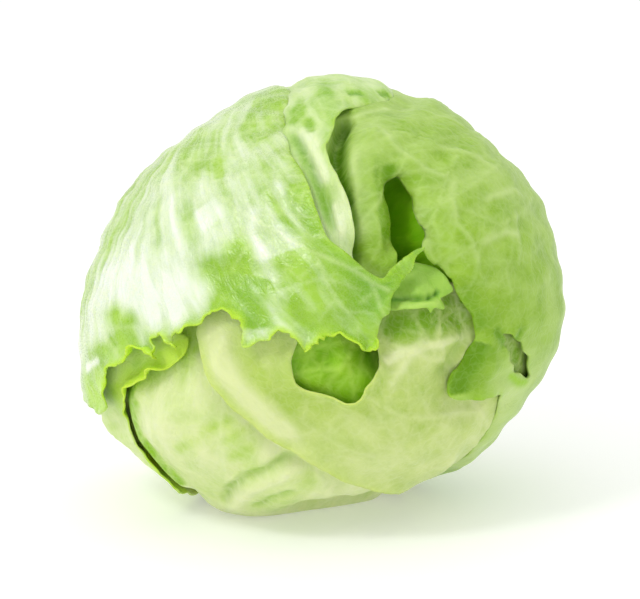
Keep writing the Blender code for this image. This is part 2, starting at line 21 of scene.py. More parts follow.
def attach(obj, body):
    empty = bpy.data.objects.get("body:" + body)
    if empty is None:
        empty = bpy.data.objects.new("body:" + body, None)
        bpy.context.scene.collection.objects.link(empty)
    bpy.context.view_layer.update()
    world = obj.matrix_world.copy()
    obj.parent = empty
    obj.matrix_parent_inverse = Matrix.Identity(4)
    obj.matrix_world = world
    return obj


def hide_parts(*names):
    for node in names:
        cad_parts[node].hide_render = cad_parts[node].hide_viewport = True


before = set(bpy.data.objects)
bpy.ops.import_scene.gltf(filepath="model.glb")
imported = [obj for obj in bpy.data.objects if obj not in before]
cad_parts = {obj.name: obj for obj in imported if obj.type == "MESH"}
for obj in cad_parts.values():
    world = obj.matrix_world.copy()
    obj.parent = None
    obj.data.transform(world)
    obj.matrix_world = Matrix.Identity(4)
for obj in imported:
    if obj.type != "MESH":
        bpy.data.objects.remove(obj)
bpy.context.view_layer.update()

LOG = logging.getLogger("lettuce")
MM = 0.001
Array = np.ndarray
Places = tuple[tuple[float, float], ...]

TINY = 1e-12

# A few straight sides are measured one by one, and many by beads laid along them.
FEW_SIDES = 24
BEAD_GAP = 0.5
# Points are tested against a loop in blocks of about this many pairs.
TESTS_AT_ONCE = 3_000_000


def smooth(value: Array | float) -> Array:
    """Ease numbers that run from 0 to 1, flat at both ends and held between them."""
    value = np.clip(value, 0.0, 1.0)
    return value * value * (3.0 - 2.0 * value)


def unit(vectors: Array) -> Array:
    """Scale each row of coordinates to length one."""
    return vectors / np.maximum(np.linalg.norm(vectors, axis=-1, keepdims=True), TINY)


@dataclass(frozen=True)
class HeadAxes:
    """The head's own axis, from its cut stem to its crown."""

    stem_bearing: float = -160.0
    stem_rise: float = -15.0
    stem: Array = field(init=False)
    skyward: Array = field(init=False)
    sideways: Array = field(init=False)

    def __post_init__(self) -> None:
        """Work out the three directions of the axis."""
        turn, rise = math.radians(self.stem_bearing), math.radians(self.stem_rise)
        stem = np.array([math.sin(turn) * math.cos(rise), -math.cos(turn) * math.cos(rise), math.sin(rise)])
        skyward = unit(np.array([0.0, 0.0, 1.0]) - stem * stem[2])
        sideways = np.cross(skyward, stem)
        object.__setattr__(self, "stem", stem)
        object.__setattr__(self, "skyward", skyward)
        object.__setattr__(self, "sideways", sideways if sideways[0] > 0 else -sideways)

    def place(self, turn: Array | float, down: Array | float) -> Array:
        """Directions from the head's centre.

        Args:
            turn: Angles round the axis.
            down: Angles from the stem.

        Returns:
            One direction a row.
        """
        turn, down = np.radians(np.asarray(turn, float)), np.radians(np.asarray(down, float))
        ring = np.cos(turn)[..., None] * self.skyward + np.sin(turn)[..., None] * self.sideways
        return np.cos(down)[..., None] * self.stem + np.sin(down)[..., None] * ring

    def places(self, rows: Places) -> Array:
        """Directions of a list of places, each a turn and an angle down."""
        return self.place([row[0] for row in rows], [row[1] for row in rows])

    def angles(self, dirs: Array) -> tuple[Array, Array]:
        """Turn round the axis and angle down from the stem of each direction."""
        down = np.degrees(np.arccos(np.clip(dirs @ self.stem, -1.0, 1.0)))
        return np.degrees(np.arctan2(dirs @ self.sideways, dirs @ self.skyward)), down


AXES = HeadAxes()


@dataclass(frozen=True)
class Noise:
    """Soft repeatable unevenness, about -1 to 1."""

    seed: int

    def at(self, spots: Array) -> Array:
        """Unevenness with waves about one unit long.

        Args:
            spots: Coordinates in two or three dimensions, in wave lengths.

        Returns:
            One number a row.
        """
        spots = np.asarray(spots, float)
        low = np.floor(spots)
        part = spots - low
        ease = part**3 * (part * (part * 6.0 - 15.0) + 10.0)
        size = spots.shape[-1]
        total = np.zeros(spots.shape[:-1])
        for corner in np.ndindex(*(2,) * size):
            offset = np.array(corner, float)
            weight = np.where(offset > 0, ease, 1.0 - ease).prod(axis=-1)
            slope = sum(self.scatter(low + offset, k) * (part - offset)[..., k] for k in range(size))
            total = total + weight * slope
        return total * 1.6

    def scatter(self, corner: Array, channel: int) -> Array:
        """A fixed number from -1 to 1 for each corner of the lattice.

        Args:
            corner: Whole coordinates.
            channel: Which of several unrelated numbers is wanted.

        Returns:
            One number a row.
        """
        mixed = np.full(corner.shape[:-1], (self.seed * 7919 + channel * 104729 + 17) & 0xFFFFFFFF, np.uint64)
        for k, prime in enumerate((73856093, 19349663, 83492791)[: corner.shape[-1]]):
            mixed ^= (corner[..., k].astype(np.int64) & 0xFFFF).astype(np.uint64) * np.uint64(prime)
            mixed = (mixed ^ (mixed >> np.uint64(15))) * np.uint64(2246822519) & np.uint64(0xFFFFFFFF)
        mixed = (mixed ^ (mixed >> np.uint64(13))) * np.uint64(3266489917) & np.uint64(0xFFFFFFFF)
        return mixed.astype(float) / 2**31 - 1.0

    def rough(self, spots: Array, octaves: int = 3) -> Array:
        """Unevenness with finer waves added, in octaves that are each half as high."""
        return sum(self.at(spots * 2.0**k + 11.3 * k) / 2.0**k for k in range(octaves))


@dataclass(frozen=True)
class Hollow:
    """A hollow pressed into one layer of the head and everything under it."""

    first: int
    path: Places
    depth: float
    width: float
    power: float = 2.0
    spots_a_leg: int = 7

    def at(self, dirs: Array, mean_radius: float) -> Array:
        """Depth of the hollow in each direction.

        Args:
            dirs: Directions from the centre.
            mean_radius: Radius that turns an angle into a length.

        Returns:
            Depths in millimetres.
        """
        corners = AXES.places(self.path)
        nearest = np.full(len(dirs), math.pi)
        for start, end in zip(corners[:-1], corners[1:]):
            for t in np.linspace(0.0, 1.0, self.spots_a_leg):
                spot = unit(start * (1 - t) + end * t)
                nearest = np.minimum(nearest, np.arccos(np.clip(dirs @ spot, -1.0, 1.0)))
        return self.depth * np.exp(-((nearest * mean_radius / self.width) ** self.power))


@dataclass(frozen=True)
class HeadShape:
    """The outer form of the whole head, as the leaves wrap it.

    The outline is a radius at each clock angle seen from the front, counted from the right.
    """

    clock: tuple[float, ...] = (
        0, 16, 31, 47, 58, 69, 82, 90, 107, 116, 127, 146, 162, 180, 200, 213, 223, 235, 248, 264, 277, 290,
        308, 320, 333, 350,
    )
    outline: tuple[float, ...] = (
        86, 83, 82, 79.5, 78, 78, 77, 76.8, 74, 73, 73, 74.5, 76, 84, 88, 85, 83, 82, 82, 80, 79, 79,
        79, 79.5, 79, 84,
    )
    front_depth: float = 80.0
    back_depth: float = 81.0
    mean_radius: float = 80.0
    centre: tuple[float, float, float] = (0.4, 2.2, 72.0)
    outline_ease: float = 6.0
    outline_reach: int = 20
    floor_ease: float = 2.0
    floor_below: float = -0.2
    stem_dimple: float = 0.05
    dimple_angle: float = 20.0
    lifted: Hollow = Hollow(0, ((186, 101), (164, 99)), 11.0, 19.0)
    swells: tuple[tuple[float, ...], ...] = (
        (9.0, 3.0, -5.0, 0.4, 0.5),
        (-4.0, 8.0, 7.0, 1.9, 0.5),
        (6.0, -7.0, 8.0, 3.1, 0.45),
        (-13.0, 5.0, 4.0, 5.0, 0.3),
        (3.0, 14.0, -9.0, 2.2, 0.3),
    )

    def clock_radius(self) -> Array:
        """Ease the outline round the clock.

        Returns:
            Radius at each whole degree, the first one again at the end.
        """
        clock, radius = np.array(self.clock, float), np.array(self.outline, float)
        around = np.r_[clock - 360, clock, clock + 360]
        steps = np.interp(np.arange(360), around, np.tile(radius, 3))
        offsets = np.arange(-self.outline_reach, self.outline_reach + 1)
        weights = np.exp(-0.5 * (offsets / self.outline_ease) ** 2)
        eased = sum(w * np.roll(steps, -o) for w, o in zip(weights, offsets))
        return np.r_[eased, eased[0]] / weights.sum()

    def rest_on_floor(self, dirs: Array, radii: Array) -> Array:
        """Ease radii so that nothing reaches below the floor.

        Args:
            dirs: Directions from the centre.
            radii: Distances before the floor is met.

        Returns:
            Distances that end at the floor.
        """
        height, soft = self.centre[2], self.floor_ease
        low = radii * dirs[..., 2] + height
        eased = np.where(low < -soft, 0.0, np.where(low > soft, low, (low + soft) ** 2 / (4.0 * soft)))
        depth = np.minimum(radii * dirs[..., 2], -1e-6)
        return np.where(dirs[..., 2] < self.floor_below, radii * (eased - height) / depth, radii)

    def radius(self, dirs: Array) -> Array:
        """Distance from the centre to the head's outer face.

        Args:
            dirs: Directions from the centre.

        Returns:
            Distances in millimetres.
        """
        clock = np.degrees(np.arctan2(dirs[..., 2], dirs[..., 0])) % 360.0
        across = np.hypot(dirs[..., 0], dirs[..., 2]) / np.interp(clock, np.arange(361), self.clock_radius())
        along = dirs[..., 1] / np.where(dirs[..., 1] < 0, self.front_depth, self.back_depth)
        radii = 1.0 / np.sqrt(across**2 + along**2)
        down = AXES.angles(dirs)[1]
        radii = radii * (1.0 - self.stem_dimple * np.exp(-((down / self.dimple_angle) ** 2)))
        for x, y, z, phase, height in self.swells:
            radii = radii + height * np.sin(dirs @ np.array([x, y, z]) + phase)
        return self.rest_on_floor(dirs, radii - self.lifted.at(dirs, self.mean_radius))

    def metres(self, spots: Array) -> Array:
        """Move points about the head's centre to where the head lies, in metres."""
        return (np.asarray(spots) + np.array(self.centre)) * MM


HEAD = HeadShape()


class LeafMap:
    """Lays the head's surface out flat round one place, keeping distances from it."""

    def __init__(self, turn: float, down: float) -> None:
        """Set the place that the map is centred on.

        Args:
            turn: Its angle round the axis.
            down: Its angle from the stem.
        """
        self.middle = AXES.place(turn, down)
        ahead = AXES.place(turn, down + 1.0) - self.middle
        self.up = unit(ahead - self.middle * (ahead @ self.middle))
        self.across = np.cross(self.up, self.middle)

    def flat(self, dirs: Array) -> Array:
        """Lay directions out flat.

        Args:
            dirs: Directions from the centre.

        Returns:
            Flat places in millimetres.
        """
        x, y, z = dirs @ self.across, dirs @ self.up, dirs @ self.middle
        reach = np.hypot(x, y)
        scale = HEAD.mean_radius * np.arctan2(reach, z) / np.maximum(reach, 1e-9)
        return np.stack([x * scale, y * scale], axis=-1)

    def dirs(self, flat: Array) -> Array:
        """Find the directions of flat places.

        Args:
            flat: Flat places in millimetres.

        Returns:
            Directions from the centre.
        """
        reach = np.linalg.norm(flat, axis=-1)
        angle = reach / HEAD.mean_radius
        scale = np.sin(angle) / np.maximum(reach, 1e-9)
        side = flat[..., 0, None] * self.across + flat[..., 1, None] * self.up
        return unit(np.cos(angle)[..., None] * self.middle + side * scale[..., None])


def lean(run: Array, length: float) -> Array:
    """Slope of a rounded curve at a point, kept short beside a short piece of the curve."""
    return run * min(0.5, length / max(np.linalg.norm(run), 1e-6) * 0.9)


def rounded_loop(points: Array, spacing: float, values: Array) -> tuple[Array, Array]:
    """Closed rounded curve through points, with values carried along.

    Args:
        points: The flat points it goes through.
        spacing: Length of its steps.
        values: One number for each point.

    Returns:
        Points of the curve and their numbers.
    """
    out, carried = [], []
    count = len(points)
    for i in range(count):
        before, start, end, after = (points[(i + k) % count] for k in (-1, 0, 1, 2))
        length = np.linalg.norm(end - start)
        steps = max(1, math.ceil(length / spacing - 0.25))
        t = (np.arange(steps) / steps)[:, None]
        out.append(
            (2 * t**3 - 3 * t**2 + 1) * start
            + (t**3 - 2 * t**2 + t) * lean(end - before, length)
            + (3 * t**2 - 2 * t**3) * end
            + (t**3 - t**2) * lean(after - start, length)
        )
        carried.append(values[i] * (1 - t[:, 0]) + values[(i + 1) % count] * t[:, 0])
    return np.concatenate(out), np.concatenate(carried)


@dataclass(frozen=True)
class Nearest:
    """How points lie to a line of flat sides."""

    distance: Array
    side: Array
    along: Array

    def between(self, first: Array, last: Array) -> Array:
        """Numbers at the nearest places, from those at the first and last end of each side."""
        return first[self.side] * (1 - self.along) + last[self.side] * self.along


def nearest_side(points: Array, starts: Array, ends: Array) -> Nearest:
    """Distance of points to the nearest of some straight sides.

    Args:
        points: Flat points.
        starts: First ends of the sides.
        ends: Second ends of the sides.

    Returns:
        Distances, which side is nearest and how far along it.
    """
    side = ends - starts
    squares = np.maximum((side**2).sum(axis=1), TINY)
    if len(starts) <= FEW_SIDES:
        gap = points[:, None] - starts[None]
        t = np.clip((gap * side).sum(axis=2) / squares, 0.0, 1.0)
        owner = ((gap - t[..., None] * side) ** 2).sum(axis=2).argmin(axis=1)
    else:
        counts = np.maximum(np.ceil(np.sqrt(squares) / BEAD_GAP).astype(int), 1)
        owners = np.repeat(np.arange(len(starts)), counts)
        order = np.arange(len(owners)) - np.repeat(np.cumsum(counts) - counts, counts)
        beads = starts[owners] + side[owners] * ((order + 0.5) / counts[owners])[:, None]
        tree = KDTree(len(beads))
        for k, (x, y) in enumerate(beads.tolist()):
            tree.insert((x, y, 0.0), k)
        tree.balance()
        owner = owners[[tree.find((x, y, 0.0))[1] for x, y in points.tolist()]]
    along = np.clip(((points - starts[owner]) * side[owner]).sum(axis=1) / squares[owner], 0.0, 1.0)
    apart = points - starts[owner] - along[:, None] * side[owner]
    return Nearest(np.linalg.norm(apart, axis=1), owner, along)


def inside_loop(points: Array, loop: Array) -> Array:
    """Which points lie inside a closed loop.

    Args:
        points: Flat points.
        loop: Corners of the loop.

    Returns:
        True for each point inside.
    """
    ends = np.roll(loop, -1, axis=0)
    rise = ends[:, 1] - loop[:, 1]
    rise = np.where(np.abs(rise) < TINY, TINY, rise)
    found = []
    for block in np.array_split(points, len(points) * len(loop) // TESTS_AT_ONCE + 1):
        over = (loop[None, :, 1] > block[:, 1, None]) != (ends[None, :, 1] > block[:, 1, None])
        reach = loop[None, :, 0] + (block[:, 1, None] - loop[None, :, 1]) / rise * (ends - loop)[:, 0]
        found.append((over & (block[:, 0, None] < reach)).sum(axis=1) % 2 == 1)
    return np.concatenate(found)


def loop_distance(points: Array, loop: Array) -> Nearest:
    """How flat points lie to a closed loop, with distances above zero inside it."""
    near = nearest_side(points, loop, np.roll(loop, -1, axis=0))
    return Nearest(near.distance * np.where(inside_loop(points, loop), 1.0, -1.0), near.side, near.along)


def lane(run: Array, aside: float) -> Array:
    """Flat places along a straight line, where unevenness is read."""
    return np.stack([run, np.full(len(run), aside)], axis=1)


def run_lengths(sides: Array) -> Array:
    """Length run at each end of a chain of sides, from 0 at its start."""
    return np.r_[0.0, np.cumsum(np.linalg.norm(sides, axis=1))]


def outward_from(loop: Array, ways: Array) -> Array:
    """Directions out of a closed loop, square to the way it runs at each corner."""
    outward = np.stack([ways[:, 1], -ways[:, 0]], axis=1)
    return -outward if np.cross(loop, np.roll(loop, -1, axis=0)).sum() < 0 else outward


@dataclass(frozen=True)
class Sheet:
    """The points of a leaf, flat and as directions from the head's centre."""

    chart: LeafMap
    flat: Array
    dirs: Array

    @property
    def down(self) -> Array:
        """Angle of each point down from the stem."""
        return AXES.angles(self.dirs)[1]


@dataclass(frozen=True)
class Stroke:
    """A fold, vein or patch of colour that runs along a path on a leaf. Pale on a raised fold is painted
    highlight; green in a crease, pocket, tear or gap is painted shade, and elsewhere a greener tone; bright
    is a painted glow at a margin.
    """

    path: Places
    width: float
    lift: float = 0.0
    pale: float = 0.0
    green: float = 0.0
    bright: float = 0.0
    fade: float = 0.2

    def weight(self, sheet: Sheet) -> Array:
        """How strongly the stroke acts at each point of a leaf.

        Args:
            sheet: The leaf's points.

        Returns:
            Weights from 0 to 1.
        """
        line = sheet.chart.flat(AXES.places(self.path))
        near = nearest_side(sheet.flat, line[:-1], line[1:])
        core = np.exp(-((near.distance / self.width) ** 2))
        if not self.fade:
            return core
        lengths = run_lengths(np.diff(line, axis=0))
        run = near.between(lengths[:-1], lengths[1:]) / lengths[-1]
        return core * (smooth(run / self.fade) * smooth((1.0 - run) / self.fade))


@dataclass(frozen=True)
class LeafPlan:
    """One leaf: its margin as turn, down and outward curl, and how it clasps the stem."""

    name: str
    middle: tuple[float, float]
    margin: tuple[tuple[float, float, float], ...]
    clasp: tuple[float, ...] = ()
    holes: tuple[Places, ...] = ()
    band: float = 8.0
    pleats: float = 0.6
    ruffle: float = 0.35
    base_down: float = 15.0
    base_points: int = 6
    coarse_step: float = 6.0

    def plan(self) -> tuple[LeafMap, Array, Array]:
        """Lay the margin out flat, with the clasp round the stem closing it.

        Returns:
            The flat map, the margin's points and their curls.
        """
        rows = list(self.margin)
        if self.clasp:
            first, last = self.clasp
            rows += [(turn, self.base_down, 0.0) for turn in np.linspace(last, first, self.base_points)]
        table = np.array(rows, float)
        chart = LeafMap(*self.middle)
        return chart, chart.flat(AXES.place(table[:, 0], table[:, 1])), table[:, 2]

    def reach(self, dirs: Array) -> Array:
        """Distance of each direction inside the margin, below zero outside it."""
        chart, points, curls = self.plan()
        return loop_distance(chart.flat(dirs), rounded_loop(points, self.coarse_step, curls)[0]).distance


LEFT_WRAPPER = LeafPlan(
    name="left_wrapper_leaf",
    middle=(-62, 95),
    clasp=(-98, -8),
    margin=(
        (-104, 28, 0), (-107, 45, 0), (-108, 60, 5), (-107, 70, 12), (-110, 76, 18), (-113, 84, 22),
        (-112, 90, 25), (-108, 95, 25), (-105, 98, 40), (-104, 103, 60), (-103, 109, 75), (-103, 114, 80),
        (-106, 119, 70), (-101, 118, 40), (-99, 117, 50), (-100, 121, 70), (-104, 125, 60), (-100, 124, 45),
        (-100, 128, 60), (-98, 133, 60), (-97, 139, 45), (-100, 141, 50), (-109, 140, 40), (-110, 144, 50),
        (-111, 147, 60), (-110, 150, 50), (-116, 152, 70), (-122, 152, 60), (-122, 155, 50), (-122, 158, 60),
        (-129, 160, 70), (-137, 161, 60), (-146, 161, 60), (-154, 162, 60), (-158, 165, 45), (-151, 166, 25),
        (-145, 170, 12), (-150, 172, 10), (-140, 175, 8), (-96, 179.5, 8), (42, 176.5, 8), (36, 173.7, 8),
        (41, 170.8, 8), (24, 173, 8), (12, 174.6, 8), (-49, 176, 8), (-81, 175, 8), (-74, 172, 8),
        (-65, 169, 8), (-59, 165, 15), (-55, 160, 15), (-45, 155, 12), (-34, 146, 2), (-30, 138, -12),
        (-26, 132, -22), (-22, 126, -24), (-16, 118, -24), (-11, 110, -24), (-8, 100, -22), (-6, 80, -10),
        (-4, 60, 0), (-5, 40, 0), (-7, 28, 0),
    ),
)

TOP = LeafPlan(
    name="top_leaf",
    middle=(8, 95),
    clasp=(-38, 24),
    margin=(
        (-40, 28, 0), (-43, 48, 0), (-46, 72, 0), (-44, 95, 0), (-42, 112, 0), (-46, 130, 0), (-54, 144, 0),
        (-64, 156, 0), (-74, 164, 0), (-79, 170, 10), (-57, 167, 12), (-41, 165, 15), (-31, 161, 20),
        (-26, 157, 22), (-23, 152, 24), (-21, 147, 26), (-18, 143, 26), (-11, 137, 24), (-5, 132, 18),
        (-1, 129.5, -5), (4, 128, -18), (11, 125, -25), (18, 117, -25), (21, 108, -25), (25, 96, -18),
        (28, 76, 0), (28, 55, 0), (26, 38, 0), (25, 27, 0),
    ),
)

RIGHT_WRAPPER = LeafPlan(
    name="right_wrapper_leaf",
    middle=(82, 105),
    clasp=(10, 136),
    margin=(
        (9, 28, 0), (7, 42, 0), (5, 62, 0), (2, 85, 0), (-4, 105, 0), (-14, 118, 0), (-20, 130, 0),
        (-26, 142, 0), (-36, 152, 0), (-52, 160, 0), (-72, 167, 0), (-90, 173, 0), (-80, 177, -20),
        (-15, 177, -60), (4, 173, -75), (6, 167, -80), (7, 160, -80), (7, 155, -75), (10, 153.5, -70),
        (15, 157.5, -70), (22, 163, -70), (31, 167.5, -70), (43, 170, -65), (60, 171, -60), (78, 169.5, -50),
        (93, 168, -45), (103, 166.5, -45), (110, 164, -45), (116, 161, -45), (121, 158, -45),
        (126, 155.5, -45), (133, 154.5, -50), (141, 153.5, -50), (150, 152, -35), (155, 148, 5),
        (149, 144.5, 20), (142, 141, 25), (135, 136.5, 20), (135, 134, -5), (139, 129, -22), (142, 126, -22),
        (146, 122, -22), (149, 114, -22), (151, 105, -22), (151, 94, -15), (150, 78, -8), (149, 60, 0),
        (146, 42, 0), (141, 28, 0),
    ),
    holes=(
        (
            (117.5, 149), (115.8, 146.5), (116.6, 143.5), (116, 140.5), (118, 138.5), (118.5, 135.5),
            (120.5, 133.5), (122.5, 130), (124, 131), (124.3, 134.5), (125.8, 137), (124.4, 139.5),
            (124.6, 142), (122, 143.5), (121, 146.5), (119, 147),
        ),
    ),
)

FRONT = LeafPlan(
    name="front_leaf",
    middle=(150, 110),
    clasp=(82, 148),
    margin=(
        (79, 28, 0), (76, 48, 0), (77, 70, 0), (81, 90, 0), (88, 110, 0), (98, 125, 0), (106, 137, 0),
        (106, 147, 0), (100, 156, 0), (94, 164, 0), (98, 171, -15), (140, 177, -20), (-118, 175, -10),
        (-134, 170, 0), (-148, 166, 0), (-160, 162.5, 10), (-163, 159, 25), (-158, 154, 50),
        (-156, 150, 60), (-146, 149, 50), (-136, 147, 45), (-130, 146, 40), (-122, 148, 20),
        (-115, 152, 10), (-105, 152, 0), (-95, 147, 0), (-92, 139, 0), (-95, 131, 0), (-100, 128, 20),
        (-107, 129, 35), (-116, 129, 35), (-127, 130, 35), (-140, 130, 35), (-151, 130, 35),
        (-166, 127, 35), (-180, 121, 30), (171, 115, 25), (160, 103, 20), (159, 85, 25), (158, 65, 25),
        (155, 45, 10), (151, 28, 0),
    ),
    band=6.0,
    pleats=0.3,
    ruffle=0.1,
)

OUTER_LEFT = LeafPlan(
    name="outer_left_leaf",
    middle=(-126, 65),
    clasp=(-144, -84),
    margin=(
        (-146, 28, 0), (-152, 45, 5), (-151, 58, 12), (-147, 70, 15), (-141, 80, 15), (-137, 87.5, 12),
        (-132, 89, 12), (-127, 90, 12), (-122, 90.5, 12), (-116, 93.5, 14), (-112.5, 98, 25),
        (-110.5, 102.5, 45), (-109, 108, 55), (-108, 113, 55), (-107, 118, 50), (-105, 123, 25),
        (-100, 124, 0), (-94, 114, 0), (-88, 98, 0), (-83, 75, 0), (-78, 55, 0), (-80, 38, 0),
        (-83, 27, 0),
    ),
)

LOWER_LEFT = LeafPlan(
    name="lower_left_leaf",
    middle=(-174, 88),
    clasp=(142, 248),
    margin=(
        (141, 28, 0), (142, 45, 0), (144, 68, 0), (148, 88, 0), (155, 105, 0), (165, 118, 0), (178, 130, 0),
        (192, 137, 0), (209, 139, 0), (225, 138, 0), (245, 137, 0), (260, 135, 0), (268, 129, 0),
        (270, 118, 0), (269, 107, 0), (267, 95, 0), (264, 80, 0), (259, 60, 0), (254, 42, 0), (249, 28, 0),
    ),
    pleats=0.3,
)

CURLED = LeafPlan(
    name="curled_inner_leaf",
    middle=(110, 173),
    margin=(
        (-150, 172, 15), (-170, 173, 25), (163, 172.5, 25), (146, 171.3, 30), (145, 170.2, 30),
        (139, 170.3, 30), (128, 168, 25), (122, 168.5, 15), (117, 169.5, 5), (110, 168, 0),
        (103, 166.5, -25), (96, 167.5, -50), (86, 168.5, -60), (74, 169.5, -60), (64, 171, -60),
        (52, 172.5, -60), (38, 175, -60), (10, 176, -50), (-54, 172, -10), (-90, 168, 0), (-119, 167, 0),
        (-140, 168, 0),
    ),
    band=5.0,
    pleats=0.1,
    ruffle=0.1,
)

INNER = LeafPlan(
    name="green_inner_leaf",
    middle=(-140, 158),
    margin=(
        (-104, 146, 0), (-115, 141, 0), (-126, 139, 0), (-137, 139, 0), (-148, 141, 0), (-160, 144, 0),
        (-169, 149, 0), (-178, 155, 0), (168, 158, 0), (150, 158, 0), (136, 158, 0), (126, 162, 20),
        (128, 168, 20), (150, 174, 0), (-150, 176, 0), (-105, 168, 0), (-98, 156, 0),
    ),
    pleats=0.8,
)


@dataclass(frozen=True)
class LeafStack:
    """The leaves from the outside in, and how each lies under the ones over it.

    A leaf presses on the ones under it over all its face and a little past its margin, and it leaves
    them free only farther out.
    """

    plans: tuple[LeafPlan, ...] = (
        LEFT_WRAPPER, TOP, RIGHT_WRAPPER, CURLED, FRONT, OUTER_LEFT, LOWER_LEFT, INNER,
    )
    step: float = 2.6
    step_at_stem: float = 4.4
    rib_rise: float = 1.8
    press_margin: float = 15.0
    press_ease: float = 12.0
    free_margin: float = 6.5
    free_ease: float = 5.0
    hollows: tuple[Hollow, ...] = (
        Hollow(1, ((-34, 146), (-30, 138), (-26, 132)), -0.8, 6.0),
        Hollow(1, ((-24, 129), (-22, 126), (-16, 118), (-11, 108), (-8, 96)), -1.5, 6.0),
        Hollow(2, ((2, 129), (9, 126), (12, 124), (18, 117), (21, 106), (25, 94)), -1.7, 5.0),
        Hollow(2, ((-5, 134), (-8, 137), (-12, 141), (-16, 145), (-21, 151), (-25, 156)), 6.0, 3.0, 4.0),
        Hollow(2, ((-25, 156), (-33, 162), (-49, 166), (-64, 168)), 3.5, 1.8),
        Hollow(2, ((1, 143), (-4, 151), (-12, 161), (-24, 168), (-40, 173)), -2.2, 6.0),
        Hollow(2, ((-3, 150), (-11, 160), (-36, 171)), 3.0, 9.0),
        Hollow(3, ((124, 157), (138, 156), (149, 154)), 2.5, 5.0),
        Hollow(
            6,
            ((-110, 104), (-112, 99), (-116.5, 95), (-122, 92), (-127, 91.5), (-132, 90.5), (-137, 89)),
            -2.4,
            4.0,
        ),
        Hollow(3, ((135, 134), (142, 126), (149, 114), (151, 100)), -1.3, 6.0),
        Hollow(3, ((5, 152), (12, 158), (20, 166), (48, 170)), 3.0, 9.0),
        Hollow(4, ((5, 152), (12, 158), (20, 166), (60, 170)), 4.0, 9.0),
        Hollow(4, ((90, 168), (108, 166), (120, 162)), 2.5, 6.0),
        Hollow(5, ((-167, 163), (172, 165), (149, 163), (128, 158)), 5.0, 9.0),
        Hollow(7, ((60, 172), (120, 168), (170, 168), (-140, 172)), 4.0, 11.0),
        Hollow(
            8,
            ((8, 152), (12, 158), (14, 164), (18, 170), (33, 175), (102, 173), (122, 168), (127, 163)),
            12.5,
            9.0,
        ),
        Hollow(8, ((128, 157), (141, 155), (149, 151)), 6.0, 8.0),
    )

    def covers(self, layer: int, dirs: Array) -> tuple[Array, Array]:
        """How many leaves press on a layer, and how far it is free of them.

        Args:
            layer: Which layer, counted from the outside.
            dirs: Directions from the centre.

        Returns:
            Counts of leaves that press, and freedom from 0 to 1.
        """
        pressing, free = np.zeros(len(dirs)), np.ones(len(dirs))
        for plan in self.plans[:layer]:
            reach = plan.reach(dirs)
            pressing += smooth((reach + self.press_margin) / self.press_ease)
            free *= 1.0 - smooth((reach + self.free_margin) / self.free_ease)
        return pressing, free

    def sunk(self, layer: int, dirs: Array) -> Array:
        """Depth of the hollows pressed into a layer."""
        pressed = (hollow for hollow in self.hollows if hollow.first <= layer)
        return sum((hollow.at(dirs, HEAD.mean_radius) for hollow in pressed), np.zeros(len(dirs)))

    def radius(self, layer: int, dirs: Array, pressing: Array) -> Array:
        """Distance from the centre to one layer's outer face.

        Args:
            layer: Which layer, counted from the outside.
            dirs: Directions from the centre.
            pressing: How many leaves press on it there.

        Returns:
            Distances in millimetres.
        """
        down = AXES.angles(dirs)[1]
        step = self.step + (self.step_at_stem - self.step) * smooth((60.0 - down) / 45.0)
        return HEAD.radius(dirs) - step * pressing - self.sunk(layer, dirs)


STACK = LeafStack()


@dataclass(frozen=True)
class Veins:
    """The ribs of one leaf as flat lines with widths."""

    starts: Array
    ends: Array
    widths: Array

    def height(self, flat: Array) -> tuple[Array, Array]:
        """How high and how pale the veins are at each flat place.

        Args:
            flat: Flat places.

        Returns:
            Heights in vein widths, and paleness from 0 to 1.
        """
        near = nearest_side(flat, self.starts, self.ends)
        width = self.widths[near.side]
        bump = np.exp(-((near.distance / (0.55 * width + 0.45)) ** 2))
        return bump * np.minimum(width, 1.6), bump * np.clip(0.35 + width / 2.2, 0.0, 1.0)


@dataclass(frozen=True)
class Branching:
    """How side veins leave their parent, in millimetres and degrees."""

    gap: float
    angle: float
    length: float
    width: float
    bend: float


TWIGS = Branching(gap=9.0, angle=50.0, length=26.0, width=0.95, bend=0.9)
TWIGLETS = Branching(gap=6.0, angle=62.0, length=11.0, width=0.55, bend=0.0)


